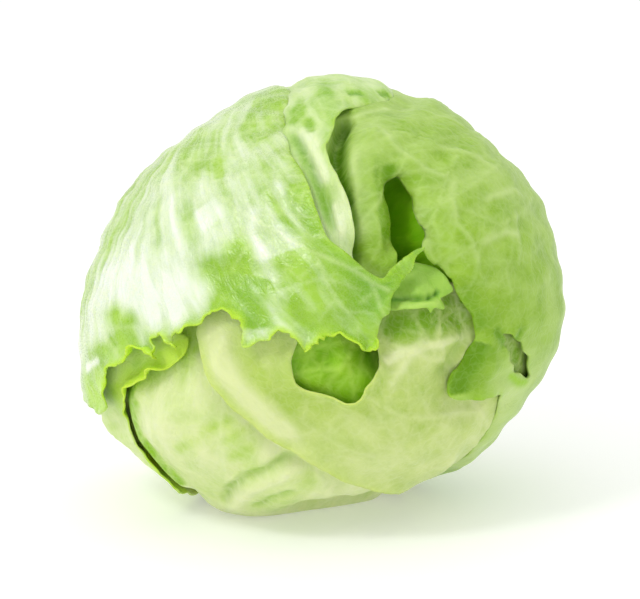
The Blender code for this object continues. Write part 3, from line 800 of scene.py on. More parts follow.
@dataclass
class VeinTree:
    """Grows the rib and veins of a leaf, as they fan out from its base."""

    chart: LeafMap
    loop: Array
    root: tuple[float, float]
    tip: tuple[float, float]
    seed: int
    sides: int = 9
    spread: float = 48.0
    midrib_width: float = 3.2
    step: float = 2.0
    wander: float = 5.0
    taper: float = 0.75
    rows: list[tuple[Array, Array, float]] = field(default_factory=list)

    def walk(self, start: Array, heading: float, length: float, width: float, bend: float) -> Array:
        """Lay one vein from a place in a direction.

        Args:
            start: Flat place where it leaves its parent.
            heading: Its first direction in degrees.
            length: How far it may run.
            width: Its width where it starts.
            bend: Degrees that it turns for each millimetre.

        Returns:
            The flat points of the vein.
        """
        count = max(2, int(length / self.step))
        order = np.arange(count)
        uneven = Noise(self.seed + len(self.rows)).at(lane(order * 0.23, 0.5))
        way = np.radians(heading + np.cumsum(bend * self.step + self.wander * uneven))
        line = start + np.cumsum(self.step * np.stack([np.cos(way), np.sin(way)], axis=1), axis=0)
        kept = np.cumprod(inside_loop(line, self.loop) | (order < 2)).astype(bool)
        line = np.concatenate([start[None], line[kept]])
        for k, (a, b) in enumerate(zip(line[:-1], line[1:])):
            self.rows.append((a, b, width * (1.0 - self.taper * k / count)))
        return line

    def branches(self, line: Array, habit: Branching) -> list[Array]:
        """Grow side veins from both sides of a vein by turns.

        Args:
            line: Flat points of the parent vein.
            habit: How the side veins leave it.

        Returns:
            The flat points of each side vein.
        """
        grown = []
        uneven = Noise(self.seed * 3 + len(self.rows))
        distance, at, side = 0.0, habit.gap * 0.6, 1
        for a, b in zip(line[:-1], line[1:]):
            distance += float(np.linalg.norm(b - a))
            if distance < at:
                continue
            wobble = float(uneven.at(np.array([[distance * 0.37, 2.5]]))[0])
            at += habit.gap * (1.0 + 0.5 * wobble)
            side = -side
            ahead = math.degrees(math.atan2(b[1] - a[1], b[0] - a[0]))
            heading = ahead + side * (habit.angle + 12.0 * wobble)
            reach = habit.length * (1.0 + 0.4 * wobble)
            grown.append(self.walk(b, heading, reach, habit.width, -side * habit.bend))
        return grown

    def grow(self) -> Veins:
        """Grow the midrib, its side veins and their twigs.

        Returns:
            All the veins as flat lines with widths.
        """
        ends = self.chart.flat(AXES.places((self.root, self.tip)))
        run = ends[1] - ends[0]
        heading = math.degrees(math.atan2(run[1], run[0]))
        length = float(np.linalg.norm(run))
        midrib = self.walk(ends[0], heading, length, self.midrib_width, 0.0)
        side_veins = Branching(length / self.sides / 1.6, self.spread, length * 0.85, width=1.7, bend=0.32)
        for vein in self.branches(midrib, side_veins):
            for twig in self.branches(vein, TWIGS):
                if len(twig) > 3:
                    self.branches(twig, TWIGLETS)
        return Veins(*(np.array(column) for column in zip(*self.rows)))


def tint(code: str) -> tuple[float, float, float, float]:
    """Turn a six-figure colour code into the shader's linear colour.

    Args:
        code: Red, green and blue as two hexadecimal figures each.

    Returns:
        Linear red, green, blue and full opacity.
    """
    parts = [int(code[k : k + 2], 16) / 255.0 for k in (0, 2, 4)]
    linear = [p / 12.92 if p <= 0.04045 else ((p + 0.055) / 1.055) ** 2.4 for p in parts]
    return (linear[0], linear[1], linear[2], 1.0)


class Signal:
    """A shader socket that works in Python sums, adding a Math node for each."""

    def __init__(self, desk: "ShaderDesk", socket: bpy.types.NodeSocket) -> None:
        """Wrap an output socket of a desk's node."""
        self.desk = desk
        self.socket = socket

    def math(self, operation: str, *values: "Signal | float") -> "Signal":
        """Add one Math node and wrap its output."""
        return self.desk.signal("ShaderNodeMath", {"operation": operation}, dict(enumerate(values)))

    def __add__(self, other: "Signal | float") -> "Signal":
        """Sum of two signals."""
        return self.math("ADD", self, other)

    def __radd__(self, other: "Signal | float") -> "Signal":
        """Sum of a number and a signal."""
        return self.math("ADD", other, self)

    def __sub__(self, other: "Signal | float") -> "Signal":
        """Difference of two signals."""
        return self.math("SUBTRACT", self, other)

    def __rsub__(self, other: "Signal | float") -> "Signal":
        """Difference of a number and a signal."""
        return self.math("SUBTRACT", other, self)

    def __mul__(self, other: "Signal | float") -> "Signal":
        """Product of two signals."""
        return self.math("MULTIPLY", self, other)

    def __rmul__(self, other: "Signal | float") -> "Signal":
        """Product of a number and a signal."""
        return self.math("MULTIPLY", other, self)

    def held(self) -> "Signal":
        """The signal held between 0 and 1."""
        return self.math("MINIMUM", self.math("MAXIMUM", self, 0.0), 1.0)

    def ramp(self, low: float, high: float) -> "Signal":
        """Ease from 0 to 1 as the signal goes from a low value to a high one."""
        settings = {"interpolation_type": "SMOOTHSTEP"}
        return self.desk.signal("ShaderNodeMapRange", settings, {0: self, 1: low, 2: high, 3: 0.0, 4: 1.0})


class ShaderDesk:
    """A new material and the nodes that are made for it."""

    def __init__(self, name: str) -> None:
        """Start a material with an empty node tree.

        Args:
            name: The material's name.
        """
        self.material = bpy.data.materials.new(name)
        self.material.use_nodes = True
        self.tree = self.material.node_tree
        self.tree.nodes.clear()

    def node(self, kind: str, settings: dict[str, object], sockets: dict) -> bpy.types.Node:
        """Add one node, set it and link it.

        Args:
            kind: The node's type.
            settings: Its properties, set first.
            sockets: Values or signals for its input sockets, by name or number.

        Returns:
            The node.
        """
        made = self.tree.nodes.new(kind)
        for key, value in settings.items():
            setattr(made, key, value)
        for key, value in sockets.items():
            if isinstance(value, Signal):
                value = value.socket
            if isinstance(value, bpy.types.NodeSocket):
                self.tree.links.new(value, made.inputs[key])
            else:
                made.inputs[key].default_value = value
        return made

    def signal(self, kind: str, settings: dict[str, object], sockets: dict, output: int | str = 0) -> Signal:
        """Add one node and wrap one of its outputs."""
        return Signal(self, self.node(kind, settings, sockets).outputs[output])

    def attribute(self, name: str) -> Signal:
        """Read a number that the mesh stores at each point."""
        return self.signal("ShaderNodeAttribute", {"attribute_name": name}, {}, "Fac")

    def mix(self, share: Signal, first: object, second: object) -> bpy.types.NodeSocket:
        """Mix two colours, with a share of the second."""
        settings = {"data_type": "RGBA"}
        return self.node("ShaderNodeMix", settings, {0: share, 6: first, 7: second}).outputs[2]

    def vector(self, operation: str, sockets: dict) -> bpy.types.NodeSocket:
        """Add one Vector Math node and give its vector."""
        return self.node("ShaderNodeVectorMath", {"operation": operation}, sockets).outputs[0]

    def noise(self, spots: bpy.types.NodeSocket, scale: float, detail: float) -> Signal:
        """Soft noise from 0 to 1, with so many waves a unit and finer ones added."""
        return self.signal("ShaderNodeTexNoise", {}, {"Vector": spots, "Scale": scale, "Detail": detail})

    def uv(self, name: str) -> bpy.types.NodeSocket:
        """Places of the piece's own flat map."""
        return self.node("ShaderNodeUVMap", {"uv_map": name}, {}).outputs[0]

    def bump(self, height: Signal, strength: float, distance: float) -> bpy.types.NodeSocket:
        """Normals of a fine relief, its height given in metres."""
        sockets = {"Strength": strength, "Distance": distance, "Height": height}
        return self.node("ShaderNodeBump", {}, sockets).outputs[0]

    def surface(self, sockets: dict) -> None:
        """Finish the material with a Principled surface."""
        shader = self.node("ShaderNodeBsdfPrincipled", {}, sockets)
        self.node("ShaderNodeOutputMaterial", {}, {"Surface": shader.outputs[0]})


@dataclass(frozen=True)
class LeafFinish:
    """Living leaf: green between pale veins, with painted shade that makes it darker green in its folds,
    hollows and creases, and a painted glow of light at its cut margin over the margin's own yellow-green.

    Two nets of small veins lie on the leaf's flat map, and soft streaks on its fan of lines, with painted
    sheen on their pale crests.
    """

    body: str
    young: str
    pale: str
    vein: str
    # rim: the cut margin's yellow-green, also its painted glow of light
    rim: str
    # the green of the painted shade in folds, hollows and creases
    deep_green_and_shade: str
    vein_share: float = 0.55
    net_share: float = 0.09
    mottle: float = 0.5
    roughness: float = 0.36
    net_size: float = 3.4
    scatter: float = 0.4
    gloss: float = 0.25
    streak: float = 0.3

    def material(self, name: str) -> bpy.types.Material:
        """Build the leaf's material.

        Args:
            name: The material's name.

        Returns:
            The material.
        """
        desk = ShaderDesk(name)
        flat = desk.uv("leaf_flat")
        wobble = {"Vector": flat, "Scale": 22.0, "Detail": 2.0}
        drift = desk.node("ShaderNodeTexNoise", {}, wobble).outputs["Color"]
        drift = desk.vector("SUBTRACT", {0: drift, 1: (0.5, 0.5, 0.5)})
        drift = desk.vector("SCALE", {0: drift, "Scale": 0.05})
        bent = desk.vector("ADD", {0: flat, 1: drift})
        cells = {"feature": "DISTANCE_TO_EDGE"}
        coarse = desk.signal("ShaderNodeTexVoronoi", cells, {"Vector": bent, "Scale": 100.0 / self.net_size})
        small = desk.signal("ShaderNodeTexVoronoi", cells, {"Vector": bent, "Scale": 230.0 / self.net_size})
        net = 1.0 - coarse.ramp(0.0, 0.16)
        fine = 1.0 - small.ramp(0.0, 0.2)
        grain, cloud = desk.noise(flat, 160.0, 3.0), desk.noise(flat, 9.0, 4.0)
        # Streaks along the fan lines: their pale crests are painted sheen, and their thin green grooves
        # painted shade.
        streak = desk.noise(desk.uv("leaf_fan"), 1.0, 3.0)
        lines = desk.attribute("lines") * self.streak
        line = lines * (1.0 - streak.math("ABSOLUTE", streak - 0.5).ramp(0.0, 0.035))
        vein, pale = desk.attribute("vein"), desk.attribute("pale")
        rim, deep_green_and_shade = desk.attribute("rim"), desk.attribute("deep_green_and_shade")
        # Share of the pale colour: the leaf's own paleness and random tone, with painted highlight from the
        # streak crests and from the pale strokes on raised folds.
        pale_and_sheen = (pale + self.mottle * (cloud - 0.5) + 2.2 * lines * (streak - 0.5)).held()
        colour = desk.mix(cloud.ramp(0.35, 0.65), tint(self.body), tint(self.young))
        colour = desk.mix(pale_and_sheen, colour, tint(self.pale))
        colour = desk.mix(0.2 * line, colour, tint(self.body))
        # Painted shade: darker green in pressed hollows, creases and the green strokes, less on the veins.
        colour = desk.mix((deep_green_and_shade * (1.0 - 0.4 * vein)).held(), colour, tint(self.deep_green_and_shade))
        nets = (net * self.net_share + fine * (0.4 * self.net_share)).held()
        colour = desk.mix(nets, colour, tint(self.vein))
        colour = desk.mix((vein * self.vein_share).held(), colour, tint(self.vein))
        # Painted glow of light at the margin, over its own yellow-green.
        colour = desk.mix(rim, colour, tint(self.rim))
        height = 0.4 * net + 0.15 * fine + 0.2 * grain + 1.6 * lines * streak - 0.5 * line
        rough = (self.roughness + 0.16 * (grain - 0.5) + 0.1 * (cloud - 0.5)).held()
        desk.surface(
            {
                "Base Color": colour,
                "Roughness": rough,
                "IOR": 1.42,
                "Specular IOR Level": self.gloss,
                "Subsurface Weight": self.scatter,
                "Subsurface Radius": (0.95, 1.0, 0.3),
                "Subsurface Scale": 0.003,
                "Normal": desk.bump(height, 0.3, 0.0005),
            }
        )
        return desk.material


@dataclass(frozen=True)
class StemFinish:
    """Cut stem: pale wet pith with a browned rim and rings of small bundles."""

    pith: str = "e9e2b8"
    ring: str = "d3c58c"
    brown: str = "a4713a"
    roughness: float = 0.5

    def material(self, name: str) -> bpy.types.Material:
        """Build the stem's material.

        Args:
            name: The material's name.

        Returns:
            The material.
        """
        desk = ShaderDesk(name)
        spots = desk.node("ShaderNodeTexCoord", {}, {}).outputs["Object"]
        grain, cloud = desk.noise(spots, 900.0, 3.0), desk.noise(spots, 130.0, 4.0)
        radial = desk.attribute("radial")
        ring = radial.ramp(0.52, 0.66) * (1.0 - radial.ramp(0.7, 0.84))
        cut = radial.ramp(0.82, 1.0)
        colour = desk.mix((0.8 * ring * cloud.ramp(0.3, 0.6)).held(), tint(self.pith), tint(self.ring))
        colour = desk.mix((cut * 0.8 + 0.5 * cloud.ramp(0.55, 0.8)).held(), colour, tint(self.brown))
        desk.surface(
            {
                "Base Color": colour,
                "Roughness": (self.roughness + 0.2 * (grain - 0.5)).held(),
                "Subsurface Weight": 0.3,
                "Subsurface Radius": (1.0, 0.8, 0.4),
                "Subsurface Scale": 0.002,
                "Normal": desk.bump(grain + cloud, 0.5, 0.0004),
            }
        )
        return desk.material


@dataclass(frozen=True)
class FloorFinish:
    """Plain white ground that glows a little, as under strong studio light."""

    white: float = 0.8
    glow: float = 0.25
    roughness: float = 0.7

    def material(self, name: str) -> bpy.types.Material:
        """Build the floor's material.

        Args:
            name: The material's name.

        Returns:
            The material.
        """
        desk = ShaderDesk(name)
        desk.surface(
            {
                "Base Color": (self.white, self.white, self.white, 1.0),
                "Roughness": self.roughness,
                "Emission Color": (1.0, 1.0, 1.0, 1.0),
                "Emission Strength": self.glow,
            }
        )
        return desk.material


class Frill(Enum):
    """How the margin of a leaf is cut, with the height of its teeth in millimetres."""

    PLAIN = 0.25
    TOOTHED = 1.0
    RAGGED = 1.7


def store(mesh: bpy.types.Mesh, name: str, values: Array) -> None:
    """Store one number for each point of a mesh under a name."""
    made = mesh.attributes.new(name, "FLOAT", "POINT")
    made.data.foreach_set("value", np.asarray(values, np.float32))


def new_mesh_object(name: str, spots: Array, faces: Array) -> bpy.types.Object:
    """Make a mesh object from millimetre points about the head's centre.

    Args:
        name: The object's name.
        spots: Points about the centre.
        faces: Corner numbers of each face.

    Returns:
        The object, linked to the scene.
    """
    mesh = bpy.data.meshes.new(name)
    mesh.from_pydata(HEAD.metres(spots).tolist(), [], [tuple(int(i) for i in f) for f in faces])
    mesh.polygons.foreach_set("use_smooth", [True] * len(mesh.polygons))
    mesh.update()
    obj = bpy.data.objects.new(name, mesh)
    bpy.context.scene.collection.objects.link(obj)
    return obj


def report(obj: bpy.types.Object) -> None:
    """Log a finished piece and its triangles.

    Args:
        obj: The piece.
    """
    corners = np.empty(len(obj.data.polygons), np.int32)
    obj.data.polygons.foreach_get("loop_total", corners)
    LOG.info("%s: %d triangles", obj.name, int((corners - 2).sum()))


def choose(obj: bpy.types.Object) -> None:
    """Select one object alone and make it active.

    Args:
        obj: The object.
    """
    bpy.ops.object.select_all(action="DESELECT")
    obj.select_set(True)
    bpy.context.view_layer.objects.active = obj


def lay_out(obj: bpy.types.Object, name: str, places: Array) -> None:
    """Give a mesh a UV map.

    Args:
        obj: The object.
        name: The map's name.
        places: Place of each point on the map.
    """
    layer = obj.data.uv_layers.new(name=name)
    corners = np.empty(len(obj.data.loops), np.int32)
    obj.data.loops.foreach_get("vertex_index", corners)
    layer.data.foreach_set("uv", places[corners].ravel())


def sheet_normals(spots: Array, faces: Array) -> Array:
    """Point normals of an open sheet.

    Args:
        spots: Points.
        faces: Triangles.

    Returns:
        One normal for each point.
    """
    flat = np.cross(spots[faces[:, 1]] - spots[faces[:, 0]], spots[faces[:, 2]] - spots[faces[:, 0]])
    normals = np.zeros_like(spots)
    for corner in range(3):
        np.add.at(normals, faces[:, corner], flat)
    return unit(normals)


def facing_out(faces: Array, sheet: Sheet, spots: Array) -> tuple[Array, Array]:
    """Turn the triangles of a leaf so that they all face out of the head.

    Args:
        faces: Triangles.
        sheet: The leaf's points.
        spots: Where they lie about the head's centre.

    Returns:
        The turned triangles, and the outward direction at each point.
    """
    corner = [sheet.flat[faces[:, k]] for k in range(3)]
    turned = np.cross(corner[1] - corner[0], corner[2] - corner[0]) < 0
    faces[turned] = faces[turned][:, ::-1]
    normals = sheet_normals(spots, faces)
    if ((normals * sheet.dirs).sum(axis=1) < 0).mean() > 0.5:
        return faces[:, ::-1], -normals
    return faces, normals


@dataclass(frozen=True)
class Teeth:
    """Rhythm of the small teeth along a frilled margin, in millimetres along it and degrees of curl."""

    length: float = 4.6
    drift: float = 1.5
    drift_wave: float = 11.0
    sharpness: float = 0.7
    middle_size: float = 0.5
    uneven_size: float = 1.3
    size_wave: float = 7.0
    smallest: float = 0.05
    largest: float = 1.7
    notch: float = 0.45
    rag: float = 0.7
    rag_wave: float = 6.5
    curl_from: float = 12.0
    curl_ease: float = 30.0
    inward_share: float = 0.1

    def heights(self, run: Array, seed: int) -> Array:
        """How far the teeth stand out along the margin.

        Args:
            run: Length run along the margin.
            seed: Seed of their unevenness.

        Returns:
            Heights, about 1 at the tip of a large tooth.
        """
        uneven = Noise(seed)
        phase = run / self.length + self.drift * uneven.at(lane(run / self.drift_wave, 0.0))
        tooth = 1.0 - np.abs(2.0 * (phase % 1.0) - 1.0) ** self.sharpness
        size = self.middle_size + self.uneven_size * uneven.at(lane(run / self.size_wave, 7.7))
        rag = self.rag * uneven.rough(lane(run / self.rag_wave, 3.1), 3)
        return tooth * np.clip(size, self.smallest, self.largest) - self.notch + rag

    def share(self, curls: Array) -> Array:
        """How far the teeth are cut at each curl of the margin, from 0 to 1."""
        cut = smooth((np.abs(curls) - self.curl_from) / self.curl_ease)
        return cut * np.where(curls > 0, 1.0, self.inward_share)


@dataclass(frozen=True)
class Roll:
    """How margins roll and ruffle, in millimetres and degrees."""

    loop_step: float = 2.5
    ease: float = 3.2
    ease_reach: int = 9
    wave: float = 2.4
    small_wave: float = 1.1
    ruffle_below: float = 110.0
    past_band: float = 1.35
    lowest: float = -7.0
    frilled_from: float = 20.0
    frilled_ease: float = 35.0

    def eased(self, outward: Array) -> Array:
        """Outward directions of a margin, each one evened out with its neighbours."""
        offsets = np.arange(-self.ease_reach, self.ease_reach + 1)
        return unit(sum(math.exp(-0.5 * (o / self.ease) ** 2) * np.roll(outward, o, axis=0) for o in offsets))


@dataclass(frozen=True)
class FanLines:
    """Lines that fan out over a leaf from one place, with their true width at the span."""

    span: float = 80.0
    sway: float = 0.035
    sway_wave: float = 34.0
    narrowing_from: float = 60.0
    narrowest: float = 0.45
    fade_from: float = 8.0
    fade_over: float = 34.0
    streaks_from: float = 22.0
    streaks_over: float = 45.0
    streak_width: float = 3.4
    streak_length: float = 26.0


@dataclass(frozen=True)
class BaseFolds:
    """Long soft folds and the thick rib at a leaf's base, in millimetres and degrees down."""

    width: float = 9.0
    sway: float = 0.35
    sway_wave: float = 19.0
    folds_from: float = 25.0
    folds_ease: float = 30.0
    rib_width: float = 6.5
    rib_flare: float = 0.06
    rib_to: float = 75.0
    rib_ease: float = 45.0
    butt_from: float = 14.0
    butt_ease: float = 6.0


TEETH = Teeth()
ROLL = Roll()
FAN = FanLines()
FOLDS = BaseFolds()


@dataclass
class Leaf:
    """One leaf as a fine thin sheet with veins, folds and a cut margin."""

    layer: int
    finish: LeafFinish
    slot: str
    frill: Frill
    fan: tuple[float, float]
    tip: tuple[float, float]
    strokes: tuple[Stroke, ...] = ()
    paleness: float = 0.3
    wrinkles: float = 0.35
    wrinkle_width: float = 5.0
    wrinkle_length: float = 34.0
    streaks: float = 0.2
    vein_lift: float = 0.22
    swell: float = 0.3
    swell_wave: float = 13.0
    spacing: float = 1.0
    shake: float = 0.12
    clear: float = 0.55
    rim_width: float = 2.2
    margin_thickness: float = 0.65
    thickness: float = 1.0
    rib_thickness: float = 2.3
    rib_width: float = 9.0
    thin_reach: float = 10.0
    frill_reach: float = 7.0
    frill_wave: float = 4.2
    bright_reach: float = 9.0
    above_floor: float = 1.0
    floor_ease: float = 4.5
    sides: int = 9
    spread: float = 48.0

    @property
    def plan(self) -> LeafPlan:
        """The leaf's plan in the stack."""
        return STACK.plans[self.layer]

    def toothed(self, loop: Array, curls: Array) -> Array:
        """Cut fine teeth into the margin where it is frilled.

        Args:
            loop: Flat points of the plain margin.
            curls: Outward curl of each point.

        Returns:
            Flat points of the cut margin.
        """
        ends = np.roll(loop, -1, axis=0)
        outward = outward_from(loop, unit(ends - np.roll(loop, 1, axis=0)))
        run = run_lengths(ends - loop)[:-1]
        cut = self.frill.value * TEETH.heights(run, self.layer * 13 + 5) * TEETH.share(curls)
        return loop + outward * cut[:, None]

    def fill(self, loop: Array, holes: list[Array]) -> tuple[Array, Array]:
        """Fill a loop with even triangles.

        Args:
            loop: Flat points of the margin.
            holes: Loops that stay open.

        Returns:
            Flat points and triangles.
        """
        gap = self.spacing
        low, high = loop.min(axis=0), loop.max(axis=0)
        rows = np.arange(low[1], high[1], gap * math.sqrt(0.75))
        grid = [
            np.stack(np.broadcast_arrays(np.arange(low[0] + (k % 2) * gap / 2, high[0], gap), y), axis=1)
            for k, y in enumerate(rows)
        ]
        inside = np.concatenate(grid)
        jitter = Noise(3 + self.layer)
        shake = np.stack([jitter.at(inside / 0.9), jitter.at(inside / 0.9 + 40.0)], axis=1)
        inside = inside + self.shake * gap * shake
        inside = inside[loop_distance(inside, loop).distance > self.clear * gap]
        for hole in holes:
            inside = inside[loop_distance(inside, hole).distance < -self.clear * gap]
        points, sides = [], []
        for ring in (loop, *holes):
            start = len(points)
            points.extend(ring.tolist())
            sides.extend((start + i, start + (i + 1) % len(ring)) for i in range(len(ring)))
        points.extend(inside.tolist())
        made = delaunay_2d_cdt(points, sides, [], 0, 1e-5)
        verts = np.array([tuple(v) for v in made[0]])
        faces = np.array([tuple(f) for f in made[2]])
        centres = verts[faces].mean(axis=1)
        keep = inside_loop(centres, loop)
        for hole in holes:
            keep &= ~inside_loop(centres, hole)
        return verts, faces[keep]

    def pleats(self, sheet: Sheet) -> Array:
        """Raise the long soft folds and the thick rib at the base.

        Args:
            sheet: The leaf's points.

        Returns:
            Heights in millimetres.
        """
        turn, down = AXES.angles(sheet.dirs)
        aside = (turn - self.plan.middle[0] + 180.0) % 360.0 - 180.0
        fan = aside * np.sin(np.radians(np.clip(down, 20.0, 160.0))) / FOLDS.width
        sway = FOLDS.sway * np.sin(sheet.flat[:, 1] / FOLDS.sway_wave)
        wave = 0.5 + 0.5 * np.cos(2.0 * math.pi * (fan + sway))
        folds = self.plan.pleats * wave * smooth((down - FOLDS.folds_from) / FOLDS.folds_ease)
        across = sheet.flat[:, 0] / (FOLDS.rib_width + FOLDS.rib_flare * np.maximum(60.0 - down, 0.0))
        rib = STACK.rib_rise * np.exp(-(across**2)) * smooth((FOLDS.rib_to - down) / FOLDS.rib_ease)
        return folds + rib * smooth((down - FOLDS.butt_from) / FOLDS.butt_ease)

    def fan_lines(self, sheet: Sheet) -> tuple[Array, Array]:
        """Place of each point across and along the lines that fan out from one place.

        Args:
            sheet: The leaf's points.

        Returns:
            Millimetres across the lines, as they lie at the span, and along them.
        """
        start = sheet.chart.flat(AXES.places((self.fan,)))[0]
        away = sheet.flat - start
        reach = np.linalg.norm(away, axis=1)
        angle = np.arctan2(away[:, 0] * start[1] - away[:, 1] * start[0], -(away @ start))
        sway = Noise(self.layer + 150).at(sheet.flat / FAN.sway_wave)
        across = (angle + FAN.sway * sway) * FAN.span
        return across * np.clip(reach / FAN.narrowing_from, FAN.narrowest, 1.0) ** 0.3, reach

    def fan_noise(self, sheet: Sheet, width: float, length: float, seed: int) -> Array:
        """Unevenness stretched along the lines that fan out from one place.

        Args:
            sheet: The leaf's points.
            width: Wave length across the lines, at the span.
            length: Wave length along them.
            seed: Seed of the unevenness.

        Returns:
            One number for each point.
        """
        across, reach = self.fan_lines(sheet)
        waves = Noise(seed).at(np.stack([across / width, reach / length], axis=1))
        return waves * smooth((reach - FAN.fade_from) / FAN.fade_over)

    def ridges(self, sheet: Sheet) -> Array:
        """Broad wrinkles that fan out, 1 on their crests."""
        waves = self.fan_noise(sheet, self.wrinkle_width, self.wrinkle_length, 100 + 10 * self.layer)
        return 1.0 - 2.0 * np.abs(waves)

    def relief(self, sheet: Sheet) -> Array:
        """Raise wrinkles, soft swells and placed folds.

        Args:
            sheet: The leaf's points.

        Returns:
            Heights in millimetres.
        """
        seed = 100 + 10 * self.layer
        narrow = self.fan_noise(sheet, self.wrinkle_width * 0.45, 20.0, seed + 1)
        amount = 0.55 + 0.45 * Noise(seed + 2).at(sheet.dirs * 3.2)
        height = self.wrinkles * amount * (0.75 * self.ridges(sheet) + 0.35 * narrow)
        height = height + self.swell * Noise(seed + 3).rough(sheet.flat / self.swell_wave, 2)
        for stroke in self.strokes:
            if stroke.lift:
                height = height + stroke.lift * stroke.weight(sheet)
        return height

    def curl(self, sheet: Sheet, spots: Array, normals: Array, free: Array) -> tuple[Array, Array, Array]:
        """Roll the margin outward or inward by the angles of the plan.

        Args:
            sheet: The leaf's points.
            spots: Where they lie before the margin is rolled.
            normals: Outward directions there.
            free: Freedom from the leaves over it, 0 to 1.

        Returns:
            Rolled points, distance inside the plain margin, and frilled share from 0 to 1.
        """
        plan = self.plan
        _, points, curls = plan.plan()
        loop, curls = rounded_loop(points, ROLL.loop_step, curls)
        near = loop_distance(sheet.flat, loop)
        sides = np.roll(loop, -1, axis=0) - loop
        outward = ROLL.eased(outward_from(loop, sides))[near.side]
        amount = near.between(curls, np.roll(curls, -1))
        frilled = smooth((amount - ROLL.frilled_from) / ROLL.frilled_ease)
        lengths = run_lengths(sides)
        run = near.between(lengths[:-1], lengths[1:])
        ruffle = np.where((amount > 0) & (amount < ROLL.ruffle_below), plan.ruffle, 0.0)
        wave = np.sin(run / ROLL.wave) + 0.5 * np.sin(run / ROLL.small_wave + 1.0)
        amount = np.radians(amount * (1.0 + ruffle * wave)) * free
        size = np.maximum(np.abs(amount), 1e-4)
        reach = np.clip(1.0 - near.distance / plan.band, 0.0, ROLL.past_band) * plan.band
        radius = plan.band / size
        angle = size * reach / plan.band
        ahead = sheet.chart.dirs(sheet.flat + outward * 0.5) - sheet.dirs
        ahead = unit(ahead - normals * (ahead * normals).sum(axis=1, keepdims=True))
        shift = radius * np.sin(angle) - reach
        lift = np.sign(amount) * radius * (1.0 - np.cos(angle))
        lift = np.where(amount < 0, np.maximum(lift, ROLL.lowest), lift)
        rolled = spots + ahead * shift[:, None] + normals * lift[:, None]
        return rolled, near.distance, frilled * free

    def paint(self, sheet: Sheet, distance: Array, frilled: Array, vein: Array) -> dict[str, Array]:
        """Work out where the leaf is pale, where painted shade makes it darker green and where a painted glow
        of light brightens its margin.

        Args:
            sheet: The leaf's points.
            distance: Distance inside the margin.
            frilled: Frilled share of the margin near by.
            vein: Paleness of the veins.

        Returns:
            The numbers to store, by attribute name.
        """
        seed = 300 + 10 * self.layer
        pale = self.paleness + 0.75 * smooth((62.0 - sheet.down) / 50.0)
        pale = pale + 0.28 * Noise(seed).rough(sheet.dirs * 2.6, 3)
        pale = pale + self.streaks * self.fan_noise(sheet, 1.4 * self.wrinkle_width, 42.0, seed + 1)
        # Pleat crests painted paler as painted highlight, and their valleys greener as painted shade.
        pale = pale + 0.7 * self.streaks * (self.ridges(sheet) - 0.4)
        pale = pale - 0.45 * frilled * smooth(1.0 - distance / 13.0)
        # Painted shade: darker green in the hollows pressed into this layer.
        deep_green_and_shade = smooth(STACK.sunk(self.layer, sheet.dirs) / 6.0)
        # Painted glow of light at the margin over its own yellow-green, strongest where it is frilled.
        rim = smooth(1.0 - distance / self.rim_width) * (0.2 + 0.7 * min(1.0, self.frill.value) * frilled)
        # Strokes add paleness, which on raised folds is painted highlight; green, which in creases, pockets
        # and gaps is painted shade; and bright, a painted glow at margins.
        for stroke in self.strokes:
            weight = stroke.weight(sheet)
            pale = pale + stroke.pale * weight
            deep_green_and_shade = deep_green_and_shade + stroke.green * weight
            rim = rim + stroke.bright * weight
        lines = smooth((self.fan_lines(sheet)[1] - FAN.streaks_from) / FAN.streaks_over)
        held = {"pale": np.clip(pale, 0, 1), "deep_green_and_shade": np.clip(deep_green_and_shade, 0, 1), "rim": np.clip(rim, 0, 1)}
        return {**held, "vein": vein, "lines": lines}

    def build(self) -> bpy.types.Object:
        """Build the leaf's sheet, thicken it and dress it.

        Returns:
            The finished leaf.
        """
        plan = self.plan
        chart, points, curls = plan.plan()
        loop, curls = rounded_loop(points, self.spacing, curls)
        loop = self.toothed(loop, curls)
        holes = []
        for hole in plan.holes:
            ring = chart.flat(AXES.places(hole))
            holes.append(rounded_loop(ring, self.spacing, np.zeros(len(ring)))[0])
        flat, faces = self.fill(loop, holes)
        dirs = chart.dirs(flat)
        sheet = Sheet(chart, flat, dirs)
        pressing, free = STACK.covers(self.layer, dirs)
        radii = STACK.radius(self.layer, dirs, pressing)
        high = smooth((dirs[:, 2] * radii + HEAD.centre[2] - self.above_floor) / self.floor_ease)
        radii = radii + self.pleats(sheet) * free * high
        spots = dirs * radii[:, None]
        faces, normals = facing_out(faces, sheet, spots)
        spots, distance, frilled = self.curl(sheet, spots, normals, free * high)
        root = (sum(plan.clasp) / 2, plan.base_down + 3.0) if plan.clasp else self.fan
        tree = VeinTree(chart, loop, root, self.tip, 40 + self.layer, self.sides, self.spread)
        bump, vein = tree.grow().height(flat)
        height = (self.relief(sheet) + self.vein_lift * bump) * free * high
        waviness = self.frill.value * 0.5 * frilled * smooth(1.0 - distance / self.frill_reach)
        height = height + waviness * Noise(self.layer + 70).rough(flat / self.frill_wave, 2)
        spots = spots + sheet_normals(spots, faces) * height[:, None]
        obj = new_mesh_object("fine_" + plan.name, spots, faces)
        for name, values in self.paint(sheet, distance, frilled, vein).items():
            store(obj.data, name, values)
        across, reach = self.fan_lines(sheet)
        lay_out(obj, "leaf_flat", flat / 100.0 + 1.0)
        streaks = np.stack([across / FAN.streak_width, reach / FAN.streak_length], axis=1)
        lay_out(obj, "leaf_fan", streaks + 30.0)
        self.thicken(obj, sheet, distance)
        # Painted light on the inner face where margins roll outward.
        self.paint_light_inside(obj, frilled * smooth(1.0 - distance / self.bright_reach))
        obj.data.materials.append(self.finish.material(plan.name + "_finish"))
        return obj

